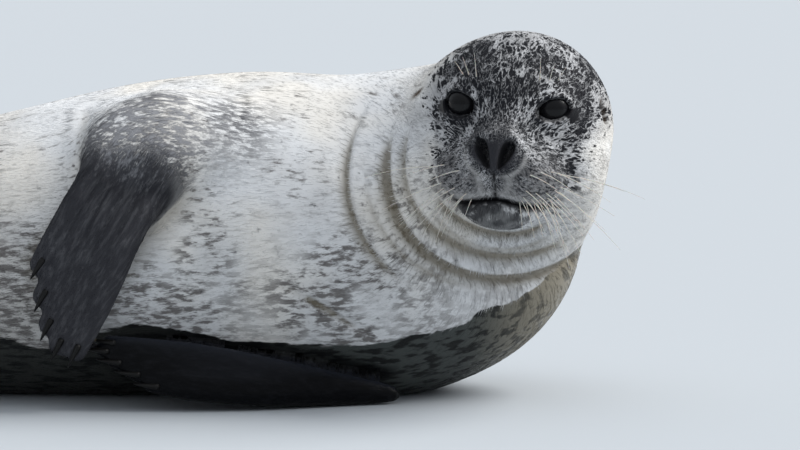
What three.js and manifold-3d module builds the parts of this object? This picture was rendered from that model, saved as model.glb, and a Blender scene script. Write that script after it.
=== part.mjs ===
// Harbor seal at life size, resting on its left side with its head raised and turned to its right.
// Millimetres, +Z up, +X towards the chest, -Y towards the belly side. The floor is z = 0.
//
// The animal is one rounded form, held as a signed distance: negative inside, positive outside.
// Each sub-part is a sphere whose rows are drawn out along a spine and whose vertices are moved
// onto that form, and is then trimmed to its own stretch of the body by thin plane cuts.

import * as THREE from "three";
import { mergeVertices } from "three/addons/utils/BufferGeometryUtils.js";
import Module from "manifold-3d";

const wasm = await Module();
wasm.setup();

// ------------------------------------------------------------------ driving dimensions

const GAP = 0.3; // clearance at every cut between two sub-parts
const OVERRUN = 30; // how far a stretch of body is made past its cuts, before it is trimmed
const BIG = 3000; // edge of the blocks that trim
const LONGEST_STEP = 10; // when looking for a surface along a ray

// Trunk: elliptical sections across X. Each row is [x, middle y, middle z, half width, half height].
const TRUNK_SECTIONS = [
  [-960, 70, 52, 50, 46],
  [-860, 62, 64, 76, 66],
  [-720, 46, 84, 112, 92],
  [-560, 30, 106, 142, 116],
  [-420, 18, 126, 160, 136],
  [-290, 10, 142, 170, 153],
  [-180, 6, 154, 177, 166],
  [-60, 2, 160, 180, 173],
  [70, 0, 158, 176, 171],
];
// The shoulder blade and its muscle stand out of the barrel above the flipper that hangs free.
const SHOULDER_BLADE = { centre: [-118, -92, 256], radii: [96, 62, 46], blend: 40 };
const REAR_CAP = 60; // how far the trunk rounds off behind its last section
const FRONT_CAP = 176; // how far the breast rounds off before its first section

// Neck: a deep throat bulge, the jowl under the jaw, and a thick column from shoulders to skull.
const THROAT = { centre: [165, -30, 184], radii: [128, 118, 150] };
const JOWL = { centre: [226, -92, 212], radii: [79, 84, 72] };
const NAPE = { from: [196, -84, 268], to: [110, -10, 190], radii: [96, 124] };
const NECK_BLEND = 46;

// Head: its middle, and how it is turned.
const HEAD_CENTRE = [218.5, -122, 281];
const HEAD_YAW = 10.6; // degrees that the face turns from -Y towards -X
const HEAD_PITCH = -1; // degrees that the nose drops
const HEAD_ROLL = 2.9; // degrees that the head leans to its own left
const HEAD_BLEND = 24;

// Head masses in the head's own axes: side, forward, up. "pair" masses stand on both sides.
const HEAD_MASSES = [
  { centre: [0, -12, -2], radii: [97, 106, 101], blend: 0 }, // cranium
  { centre: [44, 36, -44], radii: [50, 52, 48], blend: 34, pair: true }, // cheeks
  { centre: [0, 62, 16], radii: [54, 34, 44], blend: 34 }, // forehead
  { centre: [0, 76, 14], tip: [0, 120, -10], radii: [31, 24], blend: 22 }, // bridge of the muzzle
  { centre: [0, 90, -32], radii: [50, 46, 33], blend: 26 }, // muzzle
  { centre: [27, 98, -39], radii: [34, 34, 25], blend: 22, pair: true }, // whisker pads
  { centre: [0, 127, -15], radii: [26, 17, 20], blend: 18 }, // nose pad
  { centre: [0, 84, -72], radii: [44, 42, 26], blend: 16 }, // chin
];

// Eyes: a ball on each side, looking outwards, under lids with an almond opening.
const EYE_RADIUS = 20;
const EYE_CENTRE = [42.5, 61, 26.5];
const EYE_GAZE = [0.34, 0.935, 0.08];
const EYE_TILT = 12; // degrees that the outer corner drops
const LID_THICKNESS = 3;
const EYE_OPENING = [17, 11.5]; // half width and half height

// Nostrils: two slots that lean apart at the top.
const NOSTRIL_CENTRE = [12.5, 143, -14];
const NOSTRIL_RADII = [4.8, 15, 11.5];
const NOSTRIL_LEAN = 20; // degrees from upright

// Cuts: a point on each plane, and the direction towards the nose.
const HEAD_CUT = { point: [150, -30, 345], normal: [0.3, -0.645, 0.7] };
const NECK_CUT = { point: [100, -165, 180], normal: [0.45, -0.57, 0.68] };
const CHEST_CUT = -170; // x of each plane across the trunk
const BELLY_CUT = -430;
const LOIN_CUT = -700;
const TAIL_CUT = -985;

// Foreflippers: the first and the last digit, root to tip, with the three others spaced between
// them. "reach" is how far each digit's tip stands out past that spacing, along its own line.
const FORE_RIGHT = {
  first: [[-131, -152, 243], [-168, -186, 185], [-196, -190, 118], [-223, -187, 63]],
  last: [[-179, -138, 268], [-211, -175, 225], [-242, -181, 175], [-259, -178, 149]],
  reach: [0, 18, 20, 12, 0],
  radii: [18, 17, 15, 12],
  web: 10,
  notch: 12,
  flat: 1.5, // how much wider than thick a digit is
  shoulder: { from: [-142, -114, 264], to: [-150, -151, 246], radii: [40, 30] },
};
const FORE_LEFT = {
  first: [[92, -120, 10], [0, -150, 33], [-100, -162, 55], [-192, -166, 69]],
  last: [[39, -136, 12], [-37, -168, 17], [-104, -178, 22], [-148, -176, 26]],
  reach: [0, 18, 16, 8, 0],
  radii: [9, 13, 13, 8],
  web: 10,
  notch: 10,
  flat: 1.5,
};

// Hind flippers: two fans laid one over the other behind the tail, soles together.
const HIND_LEFT = {
  first: [[-900, 30, 30], [-985, 16, 20], [-1075, 2, 10], [-1158, -14, 5]],
  last: [[-915, 84, 32], [-1000, 104, 20], [-1080, 124, 10], [-1152, 146, 5]],
  reach: [0, -10, -15, -10, 0],
  radii: [20, 17, 13, 8],
  web: 14,
  notch: 6,
  flat: 1.3,
};
const HIND_RIGHT = {
  first: [[-900, 46, 72], [-985, 32, 76], [-1070, 18, 72], [-1146, 2, 60]],
  last: [[-915, 96, 70], [-1000, 118, 72], [-1075, 142, 66], [-1138, 164, 56]],
  reach: [0, -10, -15, -10, 0],
  radii: [20, 17, 13, 8],
  web: 14,
  notch: 6,
  flat: 1.3,
};

// Tail: a short flat paddle between the hind flippers.
const TAIL = { centre: [-1010, 76, 49], radii: [82, 30, 13] };

const DIGITS = 5;
const DIGIT_STEPS = 7; // straight lengths that stand for one digit's curve
const WEB_THICKNESS = 0.7; // of the web between two digits, as a share of a digit's
const FORE_CLAW = { length: 27, radius: 4.2, drop: 5, back: 7 };
const HIND_CLAW = { length: 18, radius: 2.8, drop: 3, back: 5 };

// How finely each sub-part is faceted: [round the spine, along it].
const FACETS = {
  head: [36, 27],
  neck: [32, 12],
  trunk: [28, 7],
  chest: [32, 15],
  rear: [24, 8],
  tail: [12, 7],
  fore: [14, 18],
  hind: [14, 17],
  eye: [14, 9],
  claw: [6, 4],
};

const COLOURS = {
  coat: 0xdedcd4,
  face: 0x6a6c70,
  flipper: 0x3b3c42,
  eye: 0x0b0c10,
  claw: 0x1d1c1c,
};

// ------------------------------------------------------------------ small vector helpers

const radians = (degrees) => (degrees * Math.PI) / 180;
const minus = (a, b) => [a[0] - b[0], a[1] - b[1], a[2] - b[2]];
const plus = (a, b) => [a[0] + b[0], a[1] + b[1], a[2] + b[2]];
const times = (a, k) => [a[0] * k, a[1] * k, a[2] * k];
const dot = (a, b) => a[0] * b[0] + a[1] * b[1] + a[2] * b[2];
const unit = (a) => times(a, 1 / Math.hypot(...a));
const mix = (a, b, t) => plus(times(a, 1 - t), times(b, t));
const cross = (a, b) => [
  a[1] * b[2] - a[2] * b[1],
  a[2] * b[0] - a[0] * b[2],
  a[0] * b[1] - a[1] * b[0],
];
const clamp = (x, low, high) => Math.min(high, Math.max(low, x));

// ------------------------------------------------------------------ distance fields

// Distance to an ellipsoid about the origin, close to true near its surface.
function ellipsoid(p, radii) {
  const k0 = Math.hypot(p[0] / radii[0], p[1] / radii[1], p[2] / radii[2]);
  const k1 = Math.hypot(p[0] / radii[0] ** 2, p[1] / radii[1] ** 2, p[2] / radii[2] ** 2);
  return k1 < 1e-9 ? -Math.min(...radii) : (k0 * (k0 - 1)) / k1;
}

// Distance to a round limb that tapers from one end to the other.
function limb(p, from, to, radiusFrom, radiusTo) {
  const along = minus(to, from);
  const t = clamp(dot(minus(p, from), along) / dot(along, along), 0, 1);
  return Math.hypot(...minus(p, mix(from, to, t))) - (radiusFrom + (radiusTo - radiusFrom) * t);
}

// The union of two forms, with a fillet of the given width where they meet.
function blend(a, b, width) {
  if (!width) return Math.min(a, b);
  const h = Math.max(width - Math.abs(a - b), 0) / width;
  return Math.min(a, b) - (h * h * width) / 4;
}

// A smooth curve through the trunk's sections: column 1 to 4 of the table at x.
function section(x, column) {
  const rows = TRUNK_SECTIONS;
  const last = rows.length - 1;
  const slope = (i) => {
    if (i === 0 || i === last) return 0;
    const before = (rows[i][column] - rows[i - 1][column]) / (rows[i][0] - rows[i - 1][0]);
    const after = (rows[i + 1][column] - rows[i][column]) / (rows[i + 1][0] - rows[i][0]);
    const span = rows[i + 1][0] - rows[i - 1][0];
    return (before * (rows[i + 1][0] - rows[i][0]) + after * (rows[i][0] - rows[i - 1][0])) / span;
  };
  const at = clamp(x, rows[0][0], rows[last][0]);
  let i = 0;
  while (i < last - 1 && at > rows[i + 1][0]) i++;
  const run = rows[i + 1][0] - rows[i][0];
  const t = (at - rows[i][0]) / run;
  const [t2, t3] = [t * t, t * t * t];
  return (
    (2 * t3 - 3 * t2 + 1) * rows[i][column] +
    (t3 - 2 * t2 + t) * run * slope(i) +
    (3 * t2 - 2 * t3) * rows[i + 1][column] +
    (t3 - t2) * run * slope(i + 1)
  );
}

function trunk(p) {
  const [x, y, z] = p;
  const front = TRUNK_SECTIONS[TRUNK_SECTIONS.length - 1][0];
  const rear = TRUNK_SECTIONS[0][0];
  const past = x > front ? x - front : x < rear ? rear - x : 0;
  const cap = x > front ? FRONT_CAP : REAR_CAP;
  const centred = [past, y - section(x, 1), z - section(x, 2)];
  const barrel = ellipsoid(centred, [cap, section(x, 3), section(x, 4)]);
  const blade = ellipsoid(minus(p, SHOULDER_BLADE.centre), SHOULDER_BLADE.radii);
  return blend(barrel, blade, SHOULDER_BLADE.blend);
}

function neck(p) {
  const throat = ellipsoid(minus(p, THROAT.centre), THROAT.radii);
  const jowl = ellipsoid(minus(p, JOWL.centre), JOWL.radii);
  const nape = limb(p, NAPE.from, NAPE.to, ...NAPE.radii);
  return blend(blend(throat, nape, 30), jowl, 30);
}

// The head's own axes, as rows: side, forward, up.
const HEAD_AXES = (() => {
  const [yaw, pitch, roll] = [HEAD_YAW, HEAD_PITCH, HEAD_ROLL].map(radians);
  const forward = [
    -Math.sin(yaw) * Math.cos(pitch),
    -Math.cos(yaw) * Math.cos(pitch),
    Math.sin(pitch),
  ];
  const upright = unit(minus([0, 0, 1], times(forward, forward[2])));
  const level = cross(upright, forward);
  const up = unit(plus(times(upright, Math.cos(roll)), times(level, Math.sin(roll))));
  return [cross(up, forward), forward, up];
})();
const toHead = (p) => HEAD_AXES.map((axis) => dot(minus(p, HEAD_CENTRE), axis));
const headDirection = (v) =>
  plus(plus(times(HEAD_AXES[0], v[0]), times(HEAD_AXES[1], v[1])), times(HEAD_AXES[2], v[2]));
const fromHead = (v) => plus(HEAD_CENTRE, headDirection(v));

function head(p) {
  const q = toHead(p);
  const paired = [Math.abs(q[0]), q[1], q[2]];
  let f = Infinity;
  for (const mass of HEAD_MASSES) {
    const at = mass.pair ? paired : q;
    const g = mass.tip
      ? limb(at, mass.centre, mass.tip, ...mass.radii)
      : ellipsoid(minus(at, mass.centre), mass.radii);
    f = f === Infinity ? g : blend(f, g, mass.blend);
  }
  const lid = Math.hypot(...minus(paired, EYE_CENTRE)) - EYE_RADIUS - LID_THICKNESS;
  return blend(f, lid, 9);
}

const body = (p) => blend(blend(trunk(p), neck(p), NECK_BLEND), head(p), HEAD_BLEND);

// The middle line of one digit of a flipper, as a three.js curve. Halfway between two whole
// numbers it is the line of the web between two digits, which stops short of them.
function digitCurve(flipper, i) {
  const share = i / (DIGITS - 1);
  const points = flipper.first.map((point, k) => mix(point, flipper.last[k], share));
  const tip = points.length - 1;
  const outwards = unit(minus(points[tip], points[tip - 1]));
  const [lower, upper] = [Math.floor(i), Math.ceil(i)];
  const notch = lower === upper ? 0 : flipper.notch;
  const reach = (flipper.reach[lower] + flipper.reach[upper]) / 2 - notch;
  points[tip] = plus(points[tip], times(outwards, reach));
  return new THREE.CatmullRomCurve3(
    points.map((point) => new THREE.Vector3(...point)),
    false,
    "catmullrom",
    0.5,
  );
}

// A flipper's form: five flattened digits joined by a web, with a shoulder where it has one.
function flipperForm(flipper, flatAxis) {
  const squash = (p) => p.map((value, axis) => (axis === flatAxis ? value * flipper.flat : value));
  const radius = (t) => {
    const at = t * (flipper.radii.length - 1);
    const k = Math.min(Math.floor(at), flipper.radii.length - 2);
    return flipper.radii[k] + (flipper.radii[k + 1] - flipper.radii[k]) * (at - k);
  };
  const strips = Array.from({ length: 2 * DIGITS - 1 }, (_, i) => ({
    stoutness: i % 2 ? WEB_THICKNESS : 1,
    points: digitCurve(flipper, i / 2)
      .getPoints(DIGIT_STEPS)
      .map((point) => squash(point.toArray())),
  }));
  return (p) => {
    const q = squash(p);
    let f = Infinity;
    for (const { stoutness, points } of strips) {
      let strip = Infinity;
      for (let k = 0; k < DIGIT_STEPS; k++) {
        const radii = [k, k + 1].map((step) => radius(step / DIGIT_STEPS) * stoutness);
        strip = Math.min(strip, limb(q, points[k], points[k + 1], ...radii));
      }
      f = f === Infinity ? strip : blend(f, strip, flipper.web);
    }
    f /= flipper.flat;
    const shoulder = flipper.shoulder;
    return shoulder ? blend(f, limb(p, shoulder.from, shoulder.to, ...shoulder.radii), 20) : f;
  };
}

// ------------------------------------------------------------------ from a form to a mesh

// The distance from a point inside a form to its surface, along a direction: short steps to the
// first point outside, then halving.
function reachOf(form, from, direction) {
  const at = (t) => form(plus(from, times(direction, t)));
  let inside = 0;
  let outside = 0;
  for (let f = at(0); f < 0; f = at(outside)) {
    inside = outside;
    outside += clamp(-0.7 * f, 0.5, LONGEST_STEP);
  }
  for (let k = 0; k < 12; k++) {
    const middle = (inside + outside) / 2;
    if (at(middle) < 0) inside = middle;
    else outside = middle;
  }
  return outside;
}

// A sphere drawn out along a spine and moved onto a form. Its rows first open over the near end,
// then follow the spine, then close over the far end. "wide" and "thin" are the directions across
// the spine, and "oval" crowds the rays towards the wide one. A flat end is only a fan of faces.
function wrap(form, { spine, wide, thin, facets, oval = 1, near = 1, far = 1 }) {
  const [around, along] = facets;
  const geometry = new THREE.SphereGeometry(1, around, along);
  const position = geometry.attributes.position;
  const ends = spine.length - 1;
  const between = along - near - far;
  for (let row = 0; row <= along; row++) {
    const share = clamp((row - near) / between, 0, 1);
    const at = share * ends;
    const k = Math.min(Math.floor(at), ends - 1);
    const centre = mix(spine[k], spine[k + 1], at - k);
    const tangent = unit(minus(spine[k + 1], spine[k]));
    let angle = Math.PI / 2;
    if (row < near) angle = (Math.PI / 2) * (row / near);
    if (row > along - far) angle = Math.PI - (Math.PI / 2) * ((along - row) / far);
    for (let column = 0; column <= around; column++) {
      const turn = (2 * Math.PI * (column % around)) / around;
      const radial = unit(
        plus(times(wide, Math.cos(turn) * oval), times(thin, Math.sin(turn))),
      );
      const pole = row === 0 || row === along;
      const ray = pole
        ? times(tangent, row === 0 ? -1 : 1)
        : unit(plus(times(radial, Math.sin(angle)), times(tangent, -Math.cos(angle))));
      const flatEnd = (row === 0 && near === 1) || (row === along && far === 1);
      const reach = flatEnd ? 0 : reachOf(form, centre, ray);
      position.setXYZ(row * (around + 1) + column, ...plus(centre, times(ray, reach)));
    }
  }
  return geometry;
}

// A closed geometry as a manifold-3d solid, turned right side out.
function solid(geometry) {
  const bare = geometry.index ? geometry.toNonIndexed() : geometry.clone();
  bare.deleteAttribute("normal");
  bare.deleteAttribute("uv");
  const merged = mergeVertices(bare, 1e-3);
  const vertProperties = merged.attributes.position.array;
  const make = (triVerts) =>
    new wasm.Manifold(new wasm.Mesh({ numProp: 3, vertProperties, triVerts }));
  const made = make(new Uint32Array(merged.index.array));
  return made.volume() > 0 ? made : make(new Uint32Array(merged.index.array).reverse());
}

function geometryOf(manifold) {
  const mesh = manifold.getMesh();
  const geometry = new THREE.BufferGeometry();
  geometry.setAttribute("position", new THREE.BufferAttribute(mesh.vertProperties, 3));
  geometry.setIndex(new THREE.BufferAttribute(mesh.triVerts, 1));
  geometry.computeVertexNormals();
  return geometry;
}

// A block that fills the side of a plane that the normal points to, and starts a little before it.
function blockBeyond(point, normal, clearance) {
  const direction = new THREE.Vector3(...unit(normal));
  const geometry = new THREE.BoxGeometry(BIG, BIG, BIG);
  geometry.translate(0, 0, BIG / 2 - clearance);
  geometry.applyQuaternion(
    new THREE.Quaternion().setFromUnitVectors(new THREE.Vector3(0, 0, 1), direction),
  );
  geometry.translate(...point);
  return solid(geometry);
}

const opposite = (v) => times(v, -1);
const above = (cut) => blockBeyond(cut.point, opposite(cut.normal), GAP / 2);
const below = (cut) => blockBeyond(cut.point, cut.normal, GAP / 2);
const acrossTrunk = (x) => ({ point: [x, 0, 0], normal: [1, 0, 0] });
const FLOOR = blockBeyond([0, 0, 0], [0, 0, -1], 0);

// A form limited to the side of a cut that a sub-part lies on, with some overrun to trim away.
const distancePast = (cut, p) => dot(minus(p, cut.point), unit(cut.normal));
const aheadOf = (form, cut) => (p) => Math.max(form(p), -distancePast(cut, p) - OVERRUN);
const behind = (form, cut) => (p) => Math.max(form(p), distancePast(cut, p) - OVERRUN);

// ------------------------------------------------------------------ sub-parts

const group = new THREE.Group();

function addPart(name, manifold, colour, roughness) {
  const material = new THREE.MeshStandardMaterial({ color: colour, roughness, metalness: 0 });
  const mesh = new THREE.Mesh(geometryOf(manifold), material);
  mesh.name = name;
  group.add(mesh);
}

// An eyeball, or the same ball a little larger to clear its socket.
function eyeBall(side, extra) {
  const geometry = new THREE.SphereGeometry(EYE_RADIUS + extra, ...FACETS.eye);
  geometry.translate(...fromHead([EYE_CENTRE[0] * side, EYE_CENTRE[1], EYE_CENTRE[2]]));
  return solid(geometry);
}

// The almond opening between the lids, as a prism along the gaze.
function eyeOpening(side) {
  const gaze = unit([EYE_GAZE[0] * side, EYE_GAZE[1], EYE_GAZE[2]]);
  const outer = unit(cross(gaze, [0, 0, 1]));
  const up = cross(outer, gaze);
  const shape = new THREE.Shape();
  shape.absellipse(0, 0, ...EYE_OPENING, 0, 2 * Math.PI, false, 0);
  const geometry = new THREE.ExtrudeGeometry(shape, {
    depth: 40,
    bevelEnabled: false,
    curveSegments: 8,
  });
  geometry.rotateZ(-side * radians(EYE_TILT));
  const [x, y, z] = [outer, up, gaze].map((axis) => new THREE.Vector3(...headDirection(axis)));
  if (x.clone().cross(y).dot(z) < 0) x.negate();
  const centre = fromHead([EYE_CENTRE[0] * side, EYE_CENTRE[1], EYE_CENTRE[2]]);
  const place = new THREE.Matrix4().makeBasis(x, y, z).setPosition(...centre);
  geometry.applyMatrix4(place);
  return solid(geometry);
}

function nostril(side) {
  const geometry = new THREE.SphereGeometry(1, 10, 8);
  geometry.scale(...NOSTRIL_RADII);
  geometry.rotateY(side * radians(NOSTRIL_LEAN));
  geometry.translate(NOSTRIL_CENTRE[0] * side, NOSTRIL_CENTRE[1], NOSTRIL_CENTRE[2]);
  const axes = HEAD_AXES.map((axis) => new THREE.Vector3(...axis));
  geometry.applyMatrix4(new THREE.Matrix4().makeBasis(...axes).setPosition(...HEAD_CENTRE));
  return solid(geometry);
}

function addHead() {
  const spine = [fromHead([0, -14, -2]), fromHead([0, 24, -6]), fromHead([0, 60, -14])];
  const geometry = wrap(aheadOf(body, HEAD_CUT), {
    spine,
    wide: HEAD_AXES[0],
    thin: HEAD_AXES[2],
    facets: FACETS.head,
    near: 8,
    far: 17,
  });
  let made = solid(geometry).subtract(above(HEAD_CUT));
  for (const side of [-1, 1]) {
    made = made.subtract(eyeBall(side, GAP)).subtract(eyeOpening(side)).subtract(nostril(side));
    addPart(side > 0 ? "eye_left" : "eye_right", eyeBall(side, 0), COLOURS.eye, 0.1);
  }
  addPart("head", made, COLOURS.face, 0.8);
}

function addNeck() {
  const form = behind(aheadOf(body, NECK_CUT), HEAD_CUT);
  const middle = [168, -76, 222];
  const along = times(unit(NECK_CUT.normal), 25);
  const geometry = wrap(form, {
    spine: [minus(middle, along), plus(middle, along)],
    wide: unit(cross([0, 0, 1], NECK_CUT.normal)),
    thin: unit(cross(NECK_CUT.normal, cross([0, 0, 1], NECK_CUT.normal))),
    facets: FACETS.neck,
    near: 5,
    far: 5,
  });
  const made = solid(geometry).subtract(above(NECK_CUT)).subtract(below(HEAD_CUT));
  addPart("neck", made, COLOURS.coat, 0.85);
}

// A stretch of trunk before it is trimmed, grown by a clearance where another part needs it.
function trunkStretch(x0, x1, facets, grown = 0) {
  const ends = [x0 - OVERRUN, (x0 + x1) / 2, x1 + OVERRUN];
  const spine = ends.map((x) => [x, section(x, 1), section(x, 2)]);
  const form = (p) => trunk(p) - grown;
  return solid(wrap(form, { spine, wide: [0, 1, 0], thin: [0, 0, 1], facets }));
}

// The same between its two cuts, resting on the floor.
function trunkLength(x0, x1, facets) {
  return trunkStretch(x0, x1, facets)
    .subtract(above(acrossTrunk(x0)))
    .subtract(below(acrossTrunk(x1)))
    .subtract(FLOOR);
}

function chestStretch(grown = 0) {
  const x0 = CHEST_CUT - OVERRUN;
  const geometry = wrap(behind((p) => body(p) - grown, NECK_CUT), {
    spine: [[x0, 0, 150], [-60, 0, 145], [60, -10, 135], [120, -20, 125]],
    wide: [0, 1, 0],
    thin: [0, 0, 1],
    facets: FACETS.chest,
    far: 6,
  });
  return solid(geometry);
}

function addChest() {
  const made = chestStretch()
    .subtract(above(acrossTrunk(CHEST_CUT)))
    .subtract(below(NECK_CUT))
    .subtract(FLOOR);
  addPart("chest", made, COLOURS.coat, 0.85);
}

function addTrunk() {
  addPart("belly", trunkLength(BELLY_CUT, CHEST_CUT, FACETS.trunk), COLOURS.coat, 0.85);
  addPart("loins", trunkLength(LOIN_CUT, BELLY_CUT, FACETS.trunk), COLOURS.coat, 0.85);
}

function rearStretch(grown = 0) {
  const geometry = wrap((p) => trunk(p) - grown, {
    spine: [[LOIN_CUT + OVERRUN, 44, 87], [-860, 62, 62], [-940, 68, 52]],
    wide: [0, 1, 0],
    thin: [0, 0, 1],
    facets: FACETS.rear,
    far: 3,
  });
  return solid(geometry);
}

// The haunches carry the ankles of both hind flippers and end at the root of the tail.
function addHaunches() {
  const made = rearStretch()
    .subtract(below(acrossTrunk(LOIN_CUT)))
    .subtract(above(acrossTrunk(TAIL_CUT)))
    .subtract(FLOOR);
  addPart("haunches", made, COLOURS.coat, 0.85);
}

function tailStretch(grown = 0) {
  const form = (p) => ellipsoid(minus(p, TAIL.centre), TAIL.radii) - grown;
  const geometry = wrap(form, {
    spine: [plus(TAIL.centre, [40, 0, 0]), plus(TAIL.centre, [-30, 0, 0])],
    wide: [0, 1, 0],
    thin: [0, 0, 1],
    facets: FACETS.tail,
    oval: 2,
    near: 2,
    far: 3,
  });
  return solid(geometry);
}

function addTail() {
  addPart("tail", tailStretch().subtract(below(acrossTrunk(TAIL_CUT))), COLOURS.coat, 0.85);
}

// A claw: a round horn that tapers and droops, or the same a little larger for its socket.
function claw(curve, lift, size, extra) {
  const length = curve.getLength();
  const at = curve.getPointAt(1 - size.back / length).toArray();
  const forward = curve.getTangentAt(1).toArray();
  const across = unit(cross(forward, lift));
  const root = plus(at, times(lift, size.lift));
  const [around, along] = FACETS.claw;
  const geometry = new THREE.SphereGeometry(1, around, along);
  const position = geometry.attributes.position;
  for (let row = 0; row <= along; row++) {
    const s = row / along;
    const droop = size.drop * s * s;
    const centre = plus(root, minus(times(forward, size.length * s), times(lift, droop)));
    const closed = row === 0 || row === along;
    const radius = closed ? 0 : size.radius * (1 - s) ** 0.6 + extra;
    const past = row === 0 ? -extra : row === along ? 2 * extra : 0;
    for (let column = 0; column <= around; column++) {
      const turn = (2 * Math.PI * (column % around)) / around;
      const rim = plus(
        times(across, Math.cos(turn) * radius),
        times(lift, Math.sin(turn) * radius),
      );
      position.setXYZ(
        row * (around + 1) + column,
        ...plus(plus(centre, rim), times(forward, past)),
      );
    }
  }
  return solid(geometry);
}

// A flipper and its claws. "flatAxis" is the axis it is thin along, "lift" the side its claws
// stand on. The body is cleared from its root, and each claw sits in a socket.
function addFlipper(name, flipper, options) {
  const { flatAxis, lift, facets, spineShare, fingerRows, clawSize, clear } = options;
  const form = flipperForm(flipper, flatAxis);
  const middle = digitCurve(flipper, 2);
  const spine = [0, 0.35, 0.65, 1].map((t) => middle.getPoint(t * spineShare).toArray());
  const acrossDigits = unit(minus(flipper.last[2], flipper.first[2]));
  const forward = unit(minus(spine[3], spine[0]));
  const geometry = wrap(form, {
    spine,
    wide: acrossDigits,
    thin: unit(cross(acrossDigits, forward)),
    facets,
    oval: 2.6,
    near: 4,
    far: fingerRows,
  });
  let made = solid(geometry).subtract(FLOOR);
  for (const other of clear) made = made.subtract(other);
  for (let i = 0; i < DIGITS; i++) {
    const curve = digitCurve(flipper, i);
    const size = { ...clawSize, lift: flipper.radii[3] / flipper.flat };
    made = made.subtract(claw(curve, lift, size, GAP));
    addPart(`${name}_claw_${i + 1}`, claw(curve, lift, size, 0), COLOURS.claw, 0.35);
  }
  const pieces = made.decompose().sort((a, b) => b.volume() - a.volume());
  addPart(name, pieces[0], COLOURS.flipper, 0.6);
}

function addFlippers() {
  const flank = [chestStretch(GAP), trunkStretch(BELLY_CUT, CHEST_CUT, FACETS.trunk, GAP)];
  const side = {
    flatAxis: 1,
    lift: [0, -1, 0],
    facets: FACETS.fore,
    spineShare: 0.82,
    fingerRows: 7,
    clawSize: FORE_CLAW,
  };
  addFlipper("foreflipper_right", FORE_RIGHT, { ...side, clear: flank });
  addFlipper("foreflipper_left", FORE_LEFT, { ...side, clear: flank });

  const rump = [rearStretch(GAP), tailStretch(GAP)];
  const fan = {
    flatAxis: 2,
    lift: [0, 0, 1],
    facets: FACETS.hind,
    spineShare: 0.62,
    fingerRows: 10,
    clawSize: HIND_CLAW,
  };
  addFlipper("hindflipper_left", HIND_LEFT, { ...fan, clear: rump });
  addFlipper("hindflipper_right", HIND_RIGHT, { ...fan, clear: rump });
}

addHead();
addNeck();
addChest();
addTrunk();
addHaunches();
addTail();
addFlippers();

export default group;
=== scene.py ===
# %% [markdown]
# # A harbor seal at rest
#
# A still, life-size harbor seal lies on its left side, with its head raised and turned to look out
# over its belly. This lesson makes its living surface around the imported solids: one skin for all
# the flesh, eyes, claws, whiskers, and a short coat. Everything is in one frame, +Z up, with the
# floor at z = 0. Body sizes are written in millimetres, as an anatomist would take them, and each
# mesh is scaled to metres when it is made.

import math
from functools import partial

import bmesh
import bpy
import numpy as np
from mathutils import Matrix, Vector


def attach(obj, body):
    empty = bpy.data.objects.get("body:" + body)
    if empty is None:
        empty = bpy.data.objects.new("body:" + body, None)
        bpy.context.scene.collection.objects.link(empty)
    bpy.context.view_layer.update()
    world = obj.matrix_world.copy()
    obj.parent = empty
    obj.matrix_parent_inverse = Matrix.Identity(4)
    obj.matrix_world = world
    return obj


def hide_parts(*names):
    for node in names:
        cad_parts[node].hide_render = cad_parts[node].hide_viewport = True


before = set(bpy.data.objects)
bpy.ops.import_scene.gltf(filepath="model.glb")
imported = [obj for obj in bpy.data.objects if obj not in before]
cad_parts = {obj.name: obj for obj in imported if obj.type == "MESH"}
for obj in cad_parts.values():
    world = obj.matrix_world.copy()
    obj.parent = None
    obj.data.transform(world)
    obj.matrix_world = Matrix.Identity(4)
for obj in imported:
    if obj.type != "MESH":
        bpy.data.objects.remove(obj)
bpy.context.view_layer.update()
MM = 0.001

# %% [markdown]
# ## The form as a distance
#
# A resting seal is a smooth bag of blubber with few hard edges, so it could be sculpted by hand,
# lofted through rings, or blended from simple masses. Blending wins here: each mass is a signed
# distance, negative inside, and the fillet between two masses is one number. The same distance
# then tells where the surface is, which way it faces and how far a hair stands off it.

# %% Distances and blends
def unit(v):
    v = np.asarray(v, np.float32)
    return v / np.linalg.norm(v)


def ellipsoid(p, centre, radii):
    """Distance to an ellipsoid, close to true near its surface."""
    a = (p - np.float32(centre)) / np.float32(radii)
    k0 = np.sqrt((a * a).sum(-1)) + 1e-6
    k1 = np.sqrt(((a / np.float32(radii)) ** 2).sum(-1)) + 1e-9
    return k0 * (k0 - 1) / k1


def limb(p, start, end, radius_start, radius_end):
    """Distance to a round limb that tapers from start to end."""
    start, end = np.float32(start), np.float32(end)
    along = end - start
    t = np.clip((p - start) @ along / (along @ along), 0, 1)
    away = p - start - t[..., None] * along
    return np.sqrt((away * away).sum(-1)) - (radius_start + (radius_end - radius_start) * t)


def blend(a, b, width):
    """The union of two forms, with a fillet of that width where they meet."""
    h = np.maximum(width - np.abs(a - b), 0) / width
    return np.minimum(a, b) - h * h * width * 0.25


def carve(a, b, width):
    """Form a with form b taken out of it, the new edge rounded to that width."""
    return -blend(-a, b, width)


def ramp(x, low, high):
    """0 below low, 1 above high, smooth between."""
    t = np.clip((x - low) / (high - low), 0, 1)
    return t * t * (3 - 2 * t)


def bell(x, width):
    return np.exp(-((x / width) ** 2))


def through(x, xs, ys):
    """A smooth curve through the stations (xs, ys), level at both ends."""
    xs, ys = np.asarray(xs, float), np.asarray(ys, float)
    slopes = np.gradient(ys, xs)
    slopes[0] = slopes[-1] = 0
    x = np.clip(x, xs[0], xs[-1])
    i = np.clip(np.searchsorted(xs, x) - 1, 0, len(xs) - 2)
    run = xs[i + 1] - xs[i]
    t = (x - xs[i]) / run
    t2, t3 = t * t, t * t * t
    level = (2 * t3 - 3 * t2 + 1) * ys[i] + (3 * t2 - 2 * t3) * ys[i + 1]
    return (level + ((t3 - 2 * t2 + t) * slopes[i] + (t3 - t2) * slopes[i + 1]) * run).astype(
        np.float32
    )


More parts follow.
